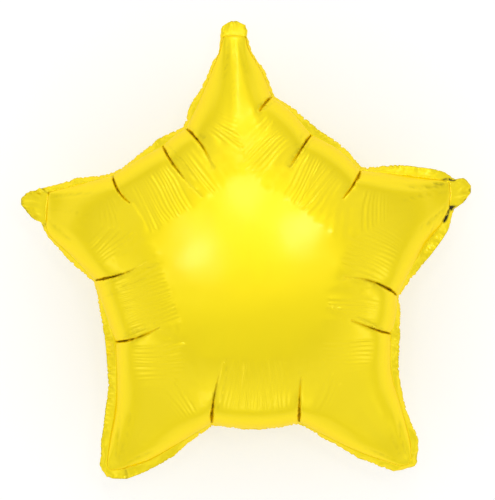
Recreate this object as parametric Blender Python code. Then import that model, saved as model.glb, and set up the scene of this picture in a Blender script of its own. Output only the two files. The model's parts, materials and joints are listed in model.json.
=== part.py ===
"""Five-point star balloon of metallised film, blown up and lying on its back.

Two films of one star outline are sealed together all round, so the balloon is one closed piece:
a crowned face, the same back, the fin outside the seal, and the filling tail folded behind.
Sizes are in millimetres and the model is in metres. X runs across the star, Y points to its top
tip and Z out of its face. The outline is laid out from the star's own middle.
"""

import math

import bmesh
import bpy
import numpy as np
from mathutils import Vector
from mathutils.bvhtree import BVHTree
from mathutils.geometry import delaunay_2d_cdt

MM = 0.001

# Seal: the outline that the rest hangs from
STAR_WIDTH = 437.5  # across the two side tips, fin included
UNITS_ACROSS = 451.0  # the same width in units of the seal's table

# Crown: the film's height over the seal
CROWN_HEIGHT = 80.0  # half the thickness in the middle
DOME_REACH = 300.0  # distance from the middle at which the crown alone would come down to the seal
DOME_POWER = 2.2  # how long the crown stays level before it falls
WALL_BLEND = 5.0  # how sharply the walls pass into the crown
REST_SPOT_RADIUS = 32.0  # where the back lies flat on what it rests on

# Valleys: the film stands fuller over the seal between two arms
VALLEY_RADIUS = 150.0  # distance of the valleys' seal from the middle
VALLEY_FADE = 40.0  # how far beyond that the fullness fades out
VALLEY_FULLNESS = 0.27

# Arms: the film lies lower along them, because each is a narrow tube
ARM_START = 85.0  # distance from the middle
ARM_FADE = 80.0
ARM_SLACK = 0.2  # share of the height that is lost there

# Pleats: the deep folds where the seal has drawn short
SLIT_WIDTH = 2.4  # how far from its line a pleat is pulled in
SLIT_FADE = 2.2  # how quickly its depth falls along its length
DIP_DEPTH = 0.18  # share of the height that the film sinks beside it
DIP_WIDTH = 11.0
DIP_FADE = 2.0

# Gathers: the shallow ribs that lie across each valley, square to the seal
GATHER_DEPTH = 1.0
GATHER_START = 15.0  # distance from the seal
GATHER_END = 70.0
GATHER_RISE = 10.0  # how far from either end a rib has its full depth
GATHER_REACH = 176.0  # distance from the middle beyond which the seal lies smooth
GATHER_FADE = 16.0  # how far before that the ribs begin to fade

# Fin: the two films outside the seal
FIN_WIDTH = 9.5
FIN_THICKNESS = 0.8
FIN_FOLD = 0.35  # share of the drop that the fin has reached halfway out

# Filling tail, folded down behind the seal between the two legs
TAIL_MIDDLE = 9.0  # across the star, from its middle
TAIL_WIDTH = 26.0
TAIL_LENGTH = 62.0
TAIL_GAP = 1.9  # from the wall that it hangs against to its own middle

# Fineness of the faces
RIB_STEP = 4.6  # between points on the seal where it is gathered: two of them make a rib
SEAM_STEP = 8.5  # and where it is smooth
GRID_STEP = 13.5
PLEAT_STEP = 7.0
TAIL_STEP = 6.5
PROFILE_STEP = 0.5
WALL_ROWS = (0.7, 3.0, 7.5, 14.0, 22.5)
RIB_ROWS = (32.0, 43.0, 54.0, 65.0)
PLEAT_ROWS = (1.6, 4.5, 10.0)
REST_SPOT_CORNERS = 20
ROW_MARGIN = 0.85  # a row's point keeps this share of its depth from all of the seal
ROW_SPACING = 0.75  # room round a row's point, as a share of its depth or of the ribs' step
PLEAT_MARGIN = 2.0  # distance from the seal at which the points beside a pleat begin
FLANK_SPACING = 0.7  # room round a point beside a pleat or on the grid
GRID_MARGIN = 0.6  # steps of the grid between it and the seal
SOLVER_STEPS = 3000
SOLVER_LIMIT = 1e-12

SEAL_UNIT = STAR_WIDTH / UNITS_ACROSS
TAIL_SIDES = (TAIL_MIDDLE + TAIL_WIDTH / 2, TAIL_MIDDLE - TAIL_WIDTH / 2)

# The seal, clockwise from the top tip: name, its point, and how far out the fin's edge lies there,
# in units of SEAL_UNIT. It is smooth but for corners where a pleat, a tip's end or the tail starts.
SEAL = (
    ("end_top_right", (1.0, 232.0), (-0.5, 11.3)),
    ("top_neck_right", (4.0, 218.0), (1.0, 1.0)),
    ("top_flank_right", (17.0, 196.0), (2.1, 1.0)),
    ("pleat_top_right", (27.0, 171.0), (2.1, 1.5)),
    ("shoulder_right_high", (45.8, 156.5), (2.5, 3.0)),
    ("pleat_shoulder_right", (66.5, 133.0), (4.5, 7.5)),
    ("shoulder_right_low", (93.5, 118.0), (3.1, 3.7)),
    ("pleat_arm_right", (114.9, 97.5), (2.1, 3.5)),
    ("arm_right_upper", (155.1, 93.5), (1.0, 9.0)),
    ("arm_right_upper_end", (191.0, 89.0), (4.0, 8.6)),
    ("end_right_upper", (204.5, 86.0), (6.5, 3.0)),
    ("tip_right", (206.0, 73.0), (20.5, 6.5)),
    ("end_right_lower", (204.0, 58.0), (6.0, 1.0)),
    ("arm_right_lower_end", (196.0, 43.0), (6.5, -6.0)),
    ("arm_right_lower", (180.0, 23.0), (9.0, -6.0)),
    ("arm_right_root", (164.0, -4.0), (4.5, -4.5)),
    ("pleat_waist_right", (151.5, -28.0), (2.6, -0.3)),
    ("waist_right", (150.5, -48.0), (5.2, 1.0)),
    ("pleat_hip_right", (145.6, -65.5), (9.7, -0.5)),
    ("leg_right_high", (146.5, -104.0), (7.5, 2.0)),
    ("leg_right_calf", (156.5, -140.0), (5.1, -1.0)),
    ("leg_right_shin", (165.1, -172.0), (7.0, 2.0)),
    ("end_leg_right_outer", (166.5, -189.0), (6.0, 2.5)),
    ("tip_leg_right", (163.5, -196.0), (6.0, -2.0)),
    ("end_leg_right_inner", (155.1, -198.0), (-4.0, -5.1)),
    ("leg_right_sole", (117.0, -185.1), (-2.0, -5.5)),
    ("leg_right_instep", (85.1, -170.0), (-1.5, -3.0)),
    ("pleat_crotch_right", (54.0, -153.6), (0.0, -2.5)),
    ("tail_right", (TAIL_SIDES[0] / SEAL_UNIT, -159.2), (0.0, -TAIL_GAP / SEAL_UNIT)),
    ("tail_left", (TAIL_SIDES[1] / SEAL_UNIT, -159.2), (0.0, -TAIL_GAP / SEAL_UNIT)),
    ("pleat_crotch_left", (-33.0, -154.6), (0.0, -2.5)),
    ("leg_left_instep", (-62.0, -173.0), (2.5, -5.1)),
    ("leg_left_sole", (-95.1, -192.0), (5.5, -7.0)),
    ("end_leg_left_inner", (-121.0, -201.0), (3.0, -10.0)),
    ("tip_leg_left", (-135.1, -202.0), (-3.0, -7.0)),
    ("end_leg_left_outer", (-138.0, -195.1), (-7.2, -3.0)),
    ("leg_left_shin", (-135.1, -172.0), (-8.2, 2.0)),
    ("leg_left_calf", (-130.0, -142.0), (-9.0, 1.0)),
    ("leg_left_high", (-128.0, -110.0), (-9.0, 1.0)),
    ("pleat_hip_left", (-129.4, -73.0), (-10.3, -1.0)),
    ("waist_left", (-140.5, -40.0), (-5.1, -2.0)),
    ("pleat_waist_left", (-149.5, -12.0), (-1.5, -2.0)),
    ("arm_left_lower", (-170.0, 9.0), (-3.5, -3.5)),
    ("arm_left_lower_end", (-194.5, 32.0), (-3.0, -1.0)),
    ("end_left_lower", (-199.0, 42.0), (-5.1, 3.5)),
    ("tip_left", (-198.5, 60.0), (-26.0, 7.0)),
    ("end_left_upper", (-197.0, 76.0), (-11.0, 2.3)),
    ("arm_left_upper", (-169.0, 83.0), (-2.0, 5.2)),
    ("arm_left_root", (-147.0, 88.5), (-2.0, 3.7)),
    ("pleat_arm_left", (-131.4, 92.5), (0.5, 2.5)),
    ("shoulder_left_low", (-107.0, 108.0), (-2.5, 2.7)),
    ("pleat_shoulder_left", (-82.0, 122.2), (-4.0, 6.5)),
    ("shoulder_left_high", (-71.0, 131.5), (-3.0, 4.0)),
    ("pleat_top_left", (-59.0, 139.0), (-2.0, 1.4)),
    ("top_flank_left", (-49.0, 160.0), (-6.0, 2.0)),
    ("top_flank_left_mid", (-40.0, 180.0), (-4.5, 0.0)),
    ("top_flank_left_high", (-29.0, 207.0), (-1.5, 1.0)),
    ("top_neck_left", (-24.5, 219.0), (-1.0, 0.5)),
    ("end_top_left", (-22.0, 232.0), (-0.5, 10.0)),
    ("tip_top", (-10.5, 233.0), (-1.0, 14.7)),
)

# Each pleat: length, the way it heads at the seal (degrees from +X), and its turn along its length
PLEATS = {
    "pleat_top_right": (20.0, -132.0, 10.0),
    "pleat_shoulder_right": (40.0, -126.0, 6.0),
    "pleat_arm_right": (34.0, -116.0, -16.0),
    "pleat_waist_right": (58.0, 140.0, 42.0),
    "pleat_hip_right": (44.0, 162.0, -4.0),
    "pleat_crotch_right": (46.0, 96.0, -14.0),
    "pleat_crotch_left": (64.0, 88.0, -18.0),
    "pleat_hip_left": (48.0, 8.0, 22.0),
    "pleat_waist_left": (56.0, 6.0, 24.0),
    "pleat_arm_left": (34.0, -74.0, 36.0),
    "pleat_shoulder_left": (64.0, -62.0, 18.0),
    "pleat_top_left": (48.0, -42.0, -26.0),
}

FILM_YELLOW = (0.84, 0.68, 0.01, 1.0)
FILM_ROUGHNESS = 0.32


def gather_share(radius):
    """How strongly the seal is gathered at a distance from the star's middle, from 0 to 1."""
    return np.clip((GATHER_REACH - radius) / GATHER_FADE, 0.0, 1.0)


def through(points, corners):
    """Points on a smooth closed curve through `points`, kept sharp at `corners`."""
    count = len(points)
    run = []
    for i in range(count):
        here, there = points[i], points[(i + 1) % count]
        lead = trail = there - here
        if i not in corners:
            lead = (there - points[i - 1]) / 2
        if (i + 1) % count not in corners:
            trail = (points[(i + 2) % count] - here) / 2
        middle = np.linalg.norm((here[:2] + there[:2]) / 2)
        step = RIB_STEP if gather_share(middle) > 0.0 else SEAM_STEP
        pieces = max(1, round(np.linalg.norm(there[:2] - here[:2]) / step))
        for k in range(pieces):
            t = k / pieces
            run.append(
                (2 * t**3 - 3 * t**2 + 1) * here
                + (t**3 - 2 * t**2 + t) * lead
                + (3 * t**2 - 2 * t**3) * there
                + (t**3 - t**2) * trail
            )
    return np.array(run)


def seal_and_fin():
    """The seal's points, and how far the fin's edge lies outside each of them in plan."""
    corners = {
        i for i, (name, _, _) in enumerate(SEAL) if name.startswith(("pleat", "end", "tail"))
    }
    both = SEAL_UNIT * np.array([[*point, *out] for _, point, out in SEAL])
    run = through(both, corners)
    return run[:, :2], run[:, 2:]


def pleat_line(name):
    """A pleat's own line, from the seal inwards, as points at even steps."""
    length, heading, turn = PLEATS[name]
    start = SEAL_UNIT * np.array(next(point for known, point, _ in SEAL if known == name))
    steps = max(2, round(length / PLEAT_STEP))
    line = [start]
    for k in range(steps):
        angle = math.radians(heading + turn * (k + 0.5) / steps)
        stride = np.array([math.cos(angle), math.sin(angle)]) * length / steps
        line.append(line[-1] + stride)
    return np.array(line)


def nearest(points, line):
    """For each point: its distance to a run of straight pieces, and where and at what spot."""
    start, along = line[:-1], line[1:] - line[:-1]
    share = ((points[:, None] - start) * along).sum(2) / (along**2).sum(1)
    share = np.clip(share, 0.0, 1.0)
    spots = start + share[..., None] * along
    gap = np.linalg.norm(points[:, None] - spots, axis=2)
    piece = gap.argmin(1)
    rows = np.arange(len(points))
    return gap[rows, piece], piece + share[rows, piece], spots[rows, piece]


def inside(points, loop):
    """Which points lie within a closed loop."""
    x, y = points[:, 0, None], points[:, 1, None]
    x0, y0 = loop[:, 0], loop[:, 1]
    x1, y1 = np.roll(x0, -1), np.roll(y0, -1)
    spans = (y0 > y) != (y1 > y)
    rise = np.where(y1 == y0, 1.0, y1 - y0)
    return (spans & (x < (x1 - x0) * (y - y0) / rise + x0)).sum(1) % 2 == 1


def smooth(share):
    """Passes smoothly from 0 to 1 as `share` does."""
    share = np.clip(share, 0.0, 1.0)
    return share * share * (3.0 - 2.0 * share)


def spread(plan, faces, held, load):
    """Height of a sheet over the plan: `held` at its first points, and bowed by an even load."""
    faces = np.array(faces)
    corner = [plan[faces[:, i]] for i in range(3)]
    one, two = corner[1] - corner[0], corner[2] - corner[0]
    size = np.maximum(np.abs(one[:, 0] * two[:, 1] - one[:, 1] * two[:, 0]), SOLVER_LIMIT)
    first, second, pull = [], [], []
    for i in range(3):
        j, k = (i + 1) % 3, (i + 2) % 3
        cotangent = ((corner[j] - corner[i]) * (corner[k] - corner[i])).sum(1) / size / 2
        first += [faces[:, j], faces[:, k]]
        second += [faces[:, k], faces[:, j]]
        pull += [cotangent, cotangent]
    first, second, pull = (np.concatenate(part) for part in (first, second, pull))
    count = len(plan)
    own = np.bincount(first, pull, minlength=count)
    free = np.arange(count) >= len(held)
    height = np.zeros(count)
    height[: len(held)] = held
    area = sum(np.bincount(faces[:, i], size / 6, minlength=count) for i in range(3))
    rest = free * (load * area + np.bincount(first, pull * height[second], minlength=count))
    way = guess = rest / own
    energy = start = rest @ guess
    for _ in range(SOLVER_STEPS):
        push = free * (own * way - np.bincount(first, pull * way[second], minlength=count))
        step = energy / (way @ push)
        height = height + step * way
        rest = rest - step * push
        guess = rest / own
        before, energy = energy, rest @ guess
        if energy < SOLVER_LIMIT * start:
            break
        way = guess + energy / before * way
    return height


def film_height(plan, faces, seal):
    """Height of the film over the seal: walls, crown, valleys, arms, pleats and gathers."""
    gap, place, spot = nearest(plan, np.vstack([seal, seal[:1]]))
    radius = np.linalg.norm(plan, axis=1)
    wall = spread(plan, faces, np.zeros(len(seal)), 1.0)
    wall = np.sqrt(2.0 * np.maximum(wall, SOLVER_LIMIT))
    dome = CROWN_HEIGHT * (1.0 - (radius / DOME_REACH) ** DOME_POWER)
    high = (wall**-WALL_BLEND + dome**-WALL_BLEND) ** (-1.0 / WALL_BLEND)

    at_seal = 1.0 - smooth((np.linalg.norm(seal, axis=1) - VALLEY_RADIUS) / VALLEY_FADE)
    valley = spread(plan, faces, at_seal, 0.0)
    arm = (1.0 - valley) * smooth((radius - ARM_START) / ARM_FADE)
    high = CROWN_HEIGHT * (high / high.max()) ** (1.0 - VALLEY_FULLNESS * valley)
    high *= 1.0 - ARM_SLACK * arm

    for name in PLEATS:
        line = pleat_line(name)
        off, along, _ = nearest(plan, line)
        fade = 1.0 - along / (len(line) - 1)
        slit = fade**SLIT_FADE * np.exp(-off / (SLIT_WIDTH * (0.5 + fade)))
        dip = DIP_DEPTH * fade**DIP_FADE * np.exp(-((off / DIP_WIDTH) ** 2))
        high *= 1.0 - np.minimum(slit + dip, 1.0)

    seat = np.linalg.norm(spot, axis=1)
    rib = GATHER_DEPTH * gather_share(seat) * np.abs(place % 2.0 - 1.0)
    rib *= np.clip(np.minimum(gap - GATHER_START, GATHER_END - gap) / GATHER_RISE, 0.0, 1.0)
    high -= rib
    high[: len(seal)] = 0.0
    return high


def inward(loop):
    """Unit vectors that point into a clockwise loop, square to it at each of its points."""
    ahead = np.roll(loop, -1, axis=0) - np.roll(loop, 1, axis=0)
    ahead /= np.linalg.norm(ahead, axis=1)[:, None]
    return np.column_stack([ahead[:, 1], -ahead[:, 0]])


class Plan:
    """Plan points of the film, each kept only where it has room beside those before it."""

    def __init__(self, seal):
        self.seal = seal
        self.kept = [np.array(p) for p in seal]
        self.lines = [(i, (i + 1) % len(seal)) for i in range(len(seal))]

    def add(self, candidates, depth, spacing):
        """Keeps the candidates that lie `depth` inside the seal and `spacing` from the others."""
        gap, _, _ = nearest(candidates, np.vstack([self.seal, self.seal[:1]]))
        good = candidates[inside(candidates, self.seal) & (gap > depth)]
        others = np.array(self.kept)
        free = np.linalg.norm(good[:, None] - others, axis=2).min(1) > spacing
        new = []
        for point in good[free]:
            if all(math.dist(point, other) > spacing for other in new):
                new.append(point)
        self.kept += new

    def add_line(self, line, last=None):
        """Keeps a line of points as edges of the faces, and starts it at the point `last`."""
        for point in line:
            self.kept.append(point)
            if last is not None:
                self.lines.append((last, len(self.kept) - 1))
            last = len(self.kept) - 1


def plan_faces(seal):
    """Triangles over the star's plan: fine at the wall and beside the pleats, wide in the middle."""
    plan = Plan(seal)
    turns = [math.tau * k / REST_SPOT_CORNERS for k in range(REST_SPOT_CORNERS)]
    spot = [REST_SPOT_RADIUS * np.array([math.cos(a), math.sin(a)]) for a in turns]
    plan.add_line(spot, last=len(seal) + REST_SPOT_CORNERS - 1)
    lines = [pleat_line(name) for name in PLEATS]
    for line in lines:
        start = np.linalg.norm(seal - line[0], axis=1).argmin()
        plan.add_line(line[1:], last=int(start))
    normal = inward(seal)
    for depth in WALL_ROWS:
        plan.add(seal + normal * depth, ROW_MARGIN * depth, ROW_SPACING * min(depth, RIB_STEP))
    gathered = gather_share(np.linalg.norm(seal, axis=1)) > 0.0
    for depth in RIB_ROWS:
        row = (seal + normal * depth)[gathered]
        plan.add(row, ROW_MARGIN * depth, ROW_SPACING * RIB_STEP)
    for out in PLEAT_ROWS:
        for line in lines:
            ahead = np.gradient(line, axis=0)
            ahead /= np.linalg.norm(ahead, axis=1)[:, None]
            square = np.column_stack([-ahead[:, 1], ahead[:, 0]])
            for side in (out, -out):
                plan.add(line + square * side, PLEAT_MARGIN, FLANK_SPACING * out)
    span = int(np.abs(seal).max() / GRID_STEP) + 1
    grid = [
        ((i + 0.5 * (j % 2)) * GRID_STEP, j * GRID_STEP * math.sqrt(0.75))
        for j in range(-2 * span, 2 * span)
        for i in range(-span, span)
    ]
    plan.add(np.array(grid), GRID_MARGIN * GRID_STEP, FLANK_SPACING * GRID_STEP)
    flat = [Vector(p) for p in plan.kept]
    kept, _, faces, *_ = delaunay_2d_cdt(flat, plan.lines, [], 1, 1e-6)
    return np.array([tuple(p) for p in kept]), [tuple(f) for f in faces]


def fin_rows(seal, out):
    """Rows of the fin from the seal to its edge. Where it looks narrow in plan, it folds back."""
    wide = np.linalg.norm(out, axis=1)
    drop = -np.sqrt(np.maximum(FIN_WIDTH**2 - wide**2, 0.0))
    return [
        np.column_stack([seal + out * share, drop * fall])
        for share, fall in ((0.5, FIN_FOLD), (1.0, 1.0))
    ]


def two_sides(row, before):
    """The fin's front and back points on a row, half its thickness either side of its middle."""
    along = np.roll(row, -1, axis=0) - np.roll(row, 1, axis=0)
    square = np.cross(along, row - before)
    square /= np.linalg.norm(square, axis=1)[:, None]
    return row + square * FIN_THICKNESS / 2, row - square * FIN_THICKNESS / 2


def tail_rows(seal, back):
    """The tail's middle and outward way, as (y, z) pairs, down the back's wall behind the seal."""
    top = seal[np.abs(seal[:, 0] - TAIL_MIDDLE).argmin(), 1]
    profile = [(top, 0.0)]
    for inwards in np.arange(PROFILE_STEP, TAIL_LENGTH, PROFILE_STEP):
        below = Vector((TAIL_MIDDLE, top + inwards, -2 * CROWN_HEIGHT))
        hit, *_ = back.ray_cast(below, Vector((0.0, 0.0, 1.0)))
        profile.append((hit.y, hit.z))
    profile = np.array(profile)
    run = np.concatenate([[0.0], np.cumsum(np.linalg.norm(np.diff(profile, axis=0), axis=1))])
    steps = round((TAIL_LENGTH - FIN_WIDTH) / TAIL_STEP)
    rows = []
    for k in range(1, steps + 1):
        at = FIN_WIDTH + (TAIL_LENGTH - FIN_WIDTH) * k / steps
        here, ahead, behind = (
            np.array([np.interp(at + shift, run, profile[:, i]) for i in range(2)])
            for shift in (0.0, TAIL_STEP / 2, -TAIL_STEP / 2)
        )
        along = (ahead - behind) / np.linalg.norm(ahead - behind)
        outward = np.array([along[1], -along[0]])
        rows.append((here + outward * TAIL_GAP, outward))
    return rows


def wall_strip(mesh, upper, lower, next_upper, next_lower, closed):
    """Faces between two rows of a thin strip, and across its two sides unless it closes on itself."""
    count = len(upper)
    for i in range(count if closed else count - 1):
        j = (i + 1) % count
        mesh.faces.new((upper[i], next_upper[i], next_upper[j], upper[j]))
        mesh.faces.new((lower[j], next_lower[j], next_lower[i], lower[i]))
    if not closed:
        for i in (0, count - 1):
            mesh.faces.new((upper[i], lower[i], next_lower[i], next_upper[i]))


def add_fin_and_tail(mesh, seal, out, upper, lower, back):
    """The fin all round the seal, and the tail that runs on from the fin's edge."""
    before = np.column_stack([seal, np.zeros(len(seal))])
    for row in fin_rows(seal, out):
        top, under = two_sides(row, before)
        next_upper = [mesh.verts.new(p * MM) for p in top]
        next_lower = [mesh.verts.new(p * MM) for p in under]
        wall_strip(mesh, upper, lower, next_upper, next_lower, True)
        before, upper, lower = row, next_upper, next_lower

    count = len(seal)
    right, left = (
        int((np.abs(seal[:, 0] - side) + (seal[:, 1] > 0) * CROWN_HEIGHT).argmin())
        for side in TAIL_SIDES
    )
    for i in range(count):
        if not right <= i < left:
            j = (i + 1) % count
            mesh.faces.new((upper[i], lower[i], lower[j], upper[j]))
    upper, lower = upper[right : left + 1], lower[right : left + 1]
    across = seal[right : left + 1, 0]
    for middle, outward in tail_rows(seal, back):
        pair = [
            [mesh.verts.new(Vector((x, *(middle + side * outward))) * MM) for x in across]
            for side in (FIN_THICKNESS / 2, -FIN_THICKNESS / 2)
        ]
        wall_strip(mesh, upper, lower, *pair, False)
        upper, lower = pair
    for i in range(len(across) - 1):
        mesh.faces.new((upper[i], lower[i], lower[i + 1], upper[i + 1]))


def balloon_mesh():
    """The whole envelope as one closed mesh: face, back, fin and tail."""
    seal, out = seal_and_fin()
    plan, faces = plan_faces(seal)
    count = len(seal)
    high = film_height(plan, faces, seal) + FIN_THICKNESS / 2
    spot = count + np.arange(REST_SPOT_CORNERS)
    back_high = np.minimum(high, high[spot].min())

    mesh = bmesh.new()
    front = [mesh.verts.new((x * MM, y * MM, z * MM)) for (x, y), z in zip(plan, high)]
    back = [mesh.verts.new((x * MM, y * MM, -z * MM)) for (x, y), z in zip(plan, back_high)]
    for a, b, c in faces:
        mesh.faces.new((front[a], front[b], front[c]))
        mesh.faces.new((back[c], back[b], back[a]))
    under = [Vector((x, y, -z)) for (x, y), z in zip(plan, back_high)]
    back_film = BVHTree.FromPolygons(under, faces)
    add_fin_and_tail(mesh, seal, out, front[:count], back[:count], back_film)
    bmesh.ops.recalc_face_normals(mesh, faces=mesh.faces)
    bmesh.ops.triangulate(mesh, faces=mesh.faces)
    settle(mesh)
    return mesh


def settle(mesh):
    """Centres the balloon over the origin and stands its back on the ground."""
    low = [min(v.co[axis] for v in mesh.verts) for axis in range(3)]
    high = [max(v.co[axis] for v in mesh.verts) for axis in range(3)]
    shift = Vector((-(low[0] + high[0]) / 2, -(low[1] + high[1]) / 2, -low[2]))
    bmesh.ops.translate(mesh, verts=mesh.verts, vec=shift)


def film_material():
    """Yellow metallised film."""
    material = bpy.data.materials.new("metallised_film_yellow")
    material.use_nodes = True
    shader = material.node_tree.nodes["Principled BSDF"]
    shader.inputs["Base Color"].default_value = FILM_YELLOW
    shader.inputs["Metallic"].default_value = 1.0
    shader.inputs["Roughness"].default_value = FILM_ROUGHNESS
    return material


def main():
    for thing in list(bpy.data.objects):
        bpy.data.objects.remove(thing)
    data = bpy.data.meshes.new("star_balloon")
    mesh = balloon_mesh()
    mesh.to_mesh(data)
    mesh.free()
    data.shade_smooth()
    data.materials.append(film_material())
    balloon = bpy.data.objects.new("star_balloon", data)
    bpy.context.scene.collection.objects.link(balloon)


main()
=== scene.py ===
"""Looks of a five-point star balloon of yellow metallised film, lying filled on its back.

Lengths are millimetres from the star's own middle, with X across the star, Y towards its top tip
and Z out of its face, measured from the plane of the seal. Where stations and creases lie is given in
units of 0.97 mm. Lamps, floor, camera and meshes are in metres.
"""
import json
import logging
import math
from dataclasses import dataclass, field
from enum import Enum
from functools import partial

import bpy
import numpy as np
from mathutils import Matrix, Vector
from mathutils.bvhtree import BVHTree
from mathutils.geometry import delaunay_2d_cdt
from mathutils.kdtree import KDTree


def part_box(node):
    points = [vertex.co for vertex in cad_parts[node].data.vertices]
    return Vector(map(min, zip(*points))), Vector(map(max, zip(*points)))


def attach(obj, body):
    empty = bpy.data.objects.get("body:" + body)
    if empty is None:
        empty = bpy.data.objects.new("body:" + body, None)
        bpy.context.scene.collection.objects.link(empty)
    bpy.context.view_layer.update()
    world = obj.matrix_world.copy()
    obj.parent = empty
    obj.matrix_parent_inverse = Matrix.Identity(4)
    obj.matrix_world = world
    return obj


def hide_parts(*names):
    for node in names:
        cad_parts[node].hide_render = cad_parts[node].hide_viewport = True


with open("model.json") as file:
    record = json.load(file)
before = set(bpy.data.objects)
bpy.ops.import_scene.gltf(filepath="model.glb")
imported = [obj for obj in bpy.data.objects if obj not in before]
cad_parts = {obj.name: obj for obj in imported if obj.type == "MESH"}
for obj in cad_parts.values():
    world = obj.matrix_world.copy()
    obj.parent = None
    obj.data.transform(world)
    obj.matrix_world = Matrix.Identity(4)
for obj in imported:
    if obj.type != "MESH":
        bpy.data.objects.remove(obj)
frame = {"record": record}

MM = 0.001
NODE = "star_balloon"
BODY = "root"

# The filled star's width in millimetres, and in the units that stations and creases are placed in
STAR_WIDTH = 437.5
STAR_UNITS = 451.0
UNIT = STAR_WIDTH / STAR_UNITS

MATH, VECTOR_MATH = "ShaderNodeMath", "ShaderNodeVectorMath"
NOISE, RANGE = "ShaderNodeTexNoise", "ShaderNodeMapRange"
COMBINE, SPLIT = "ShaderNodeCombineXYZ", "ShaderNodeSeparateXYZ"
READ, PLACE = "GeometryNodeInputNamedAttribute", "ShaderNodeTexCoord"
PLUS, MINUS, TIMES, OVER = (
    {"operation": name} for name in ("ADD", "SUBTRACT", "MULTIPLY", "DIVIDE")
)
SCALE, MOST, BLEND = ({"operation": name} for name in ("SCALE", "MAXIMUM", "MULTIPLY_ADD"))
SOFT = {"interpolation_type": "SMOOTHSTEP"}
NUMBER, VECTOR = {"data_type": "FLOAT"}, {"data_type": "FLOAT_VECTOR"}

log = logging.getLogger("star_balloon")


class Turn(Enum):
    """How the seal passes through a station."""

    SMOOTH = "smooth"
    PLEAT = "pleat"
    TIP = "tip"


@dataclass(frozen=True)
class Station:
    """A place on the seal.

    Attributes:
        name: What lies there.
        point: Its x and y in units.
        out: How far outside it the fin's edge lies in plan, along x and y, in units.
        turn: How the seal passes through it.
    """

    name: str
    point: tuple[float, float]
    out: tuple[float, float]
    turn: Turn = Turn.SMOOTH


@dataclass(frozen=True)
class Pleat:
    """A fold that starts at the seal and runs inwards until the film has risen over it.

    Attributes:
        station: The station where it leaves the seal.
        length: How far it runs.
        heading: Its way at the seal, in degrees from +X.
        turn: How far it bends along its length, in degrees.
        step: How far the film to its left stands over the film to its right.
    """

    station: str
    length: float
    heading: float
    turn: float
    step: float = 0.0

    def line(self, step: float) -> np.ndarray:
        """Gives the fold's points in plan.

        Args:
            step: Spacing of the points.

        Returns:
            An array of points, the first of them on the seal.
        """
        steps = max(3, round(self.length / step))
        middle = (np.arange(steps) + 0.5) / steps
        angle = np.radians(self.heading + self.turn * middle)
        strides = np.column_stack([np.cos(angle), np.sin(angle)]) * self.length / steps
        start = UNIT * np.array(next(s.point for s in STATIONS if s.name == self.station))
        return np.vstack([start, start + np.cumsum(strides, axis=0)])


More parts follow.
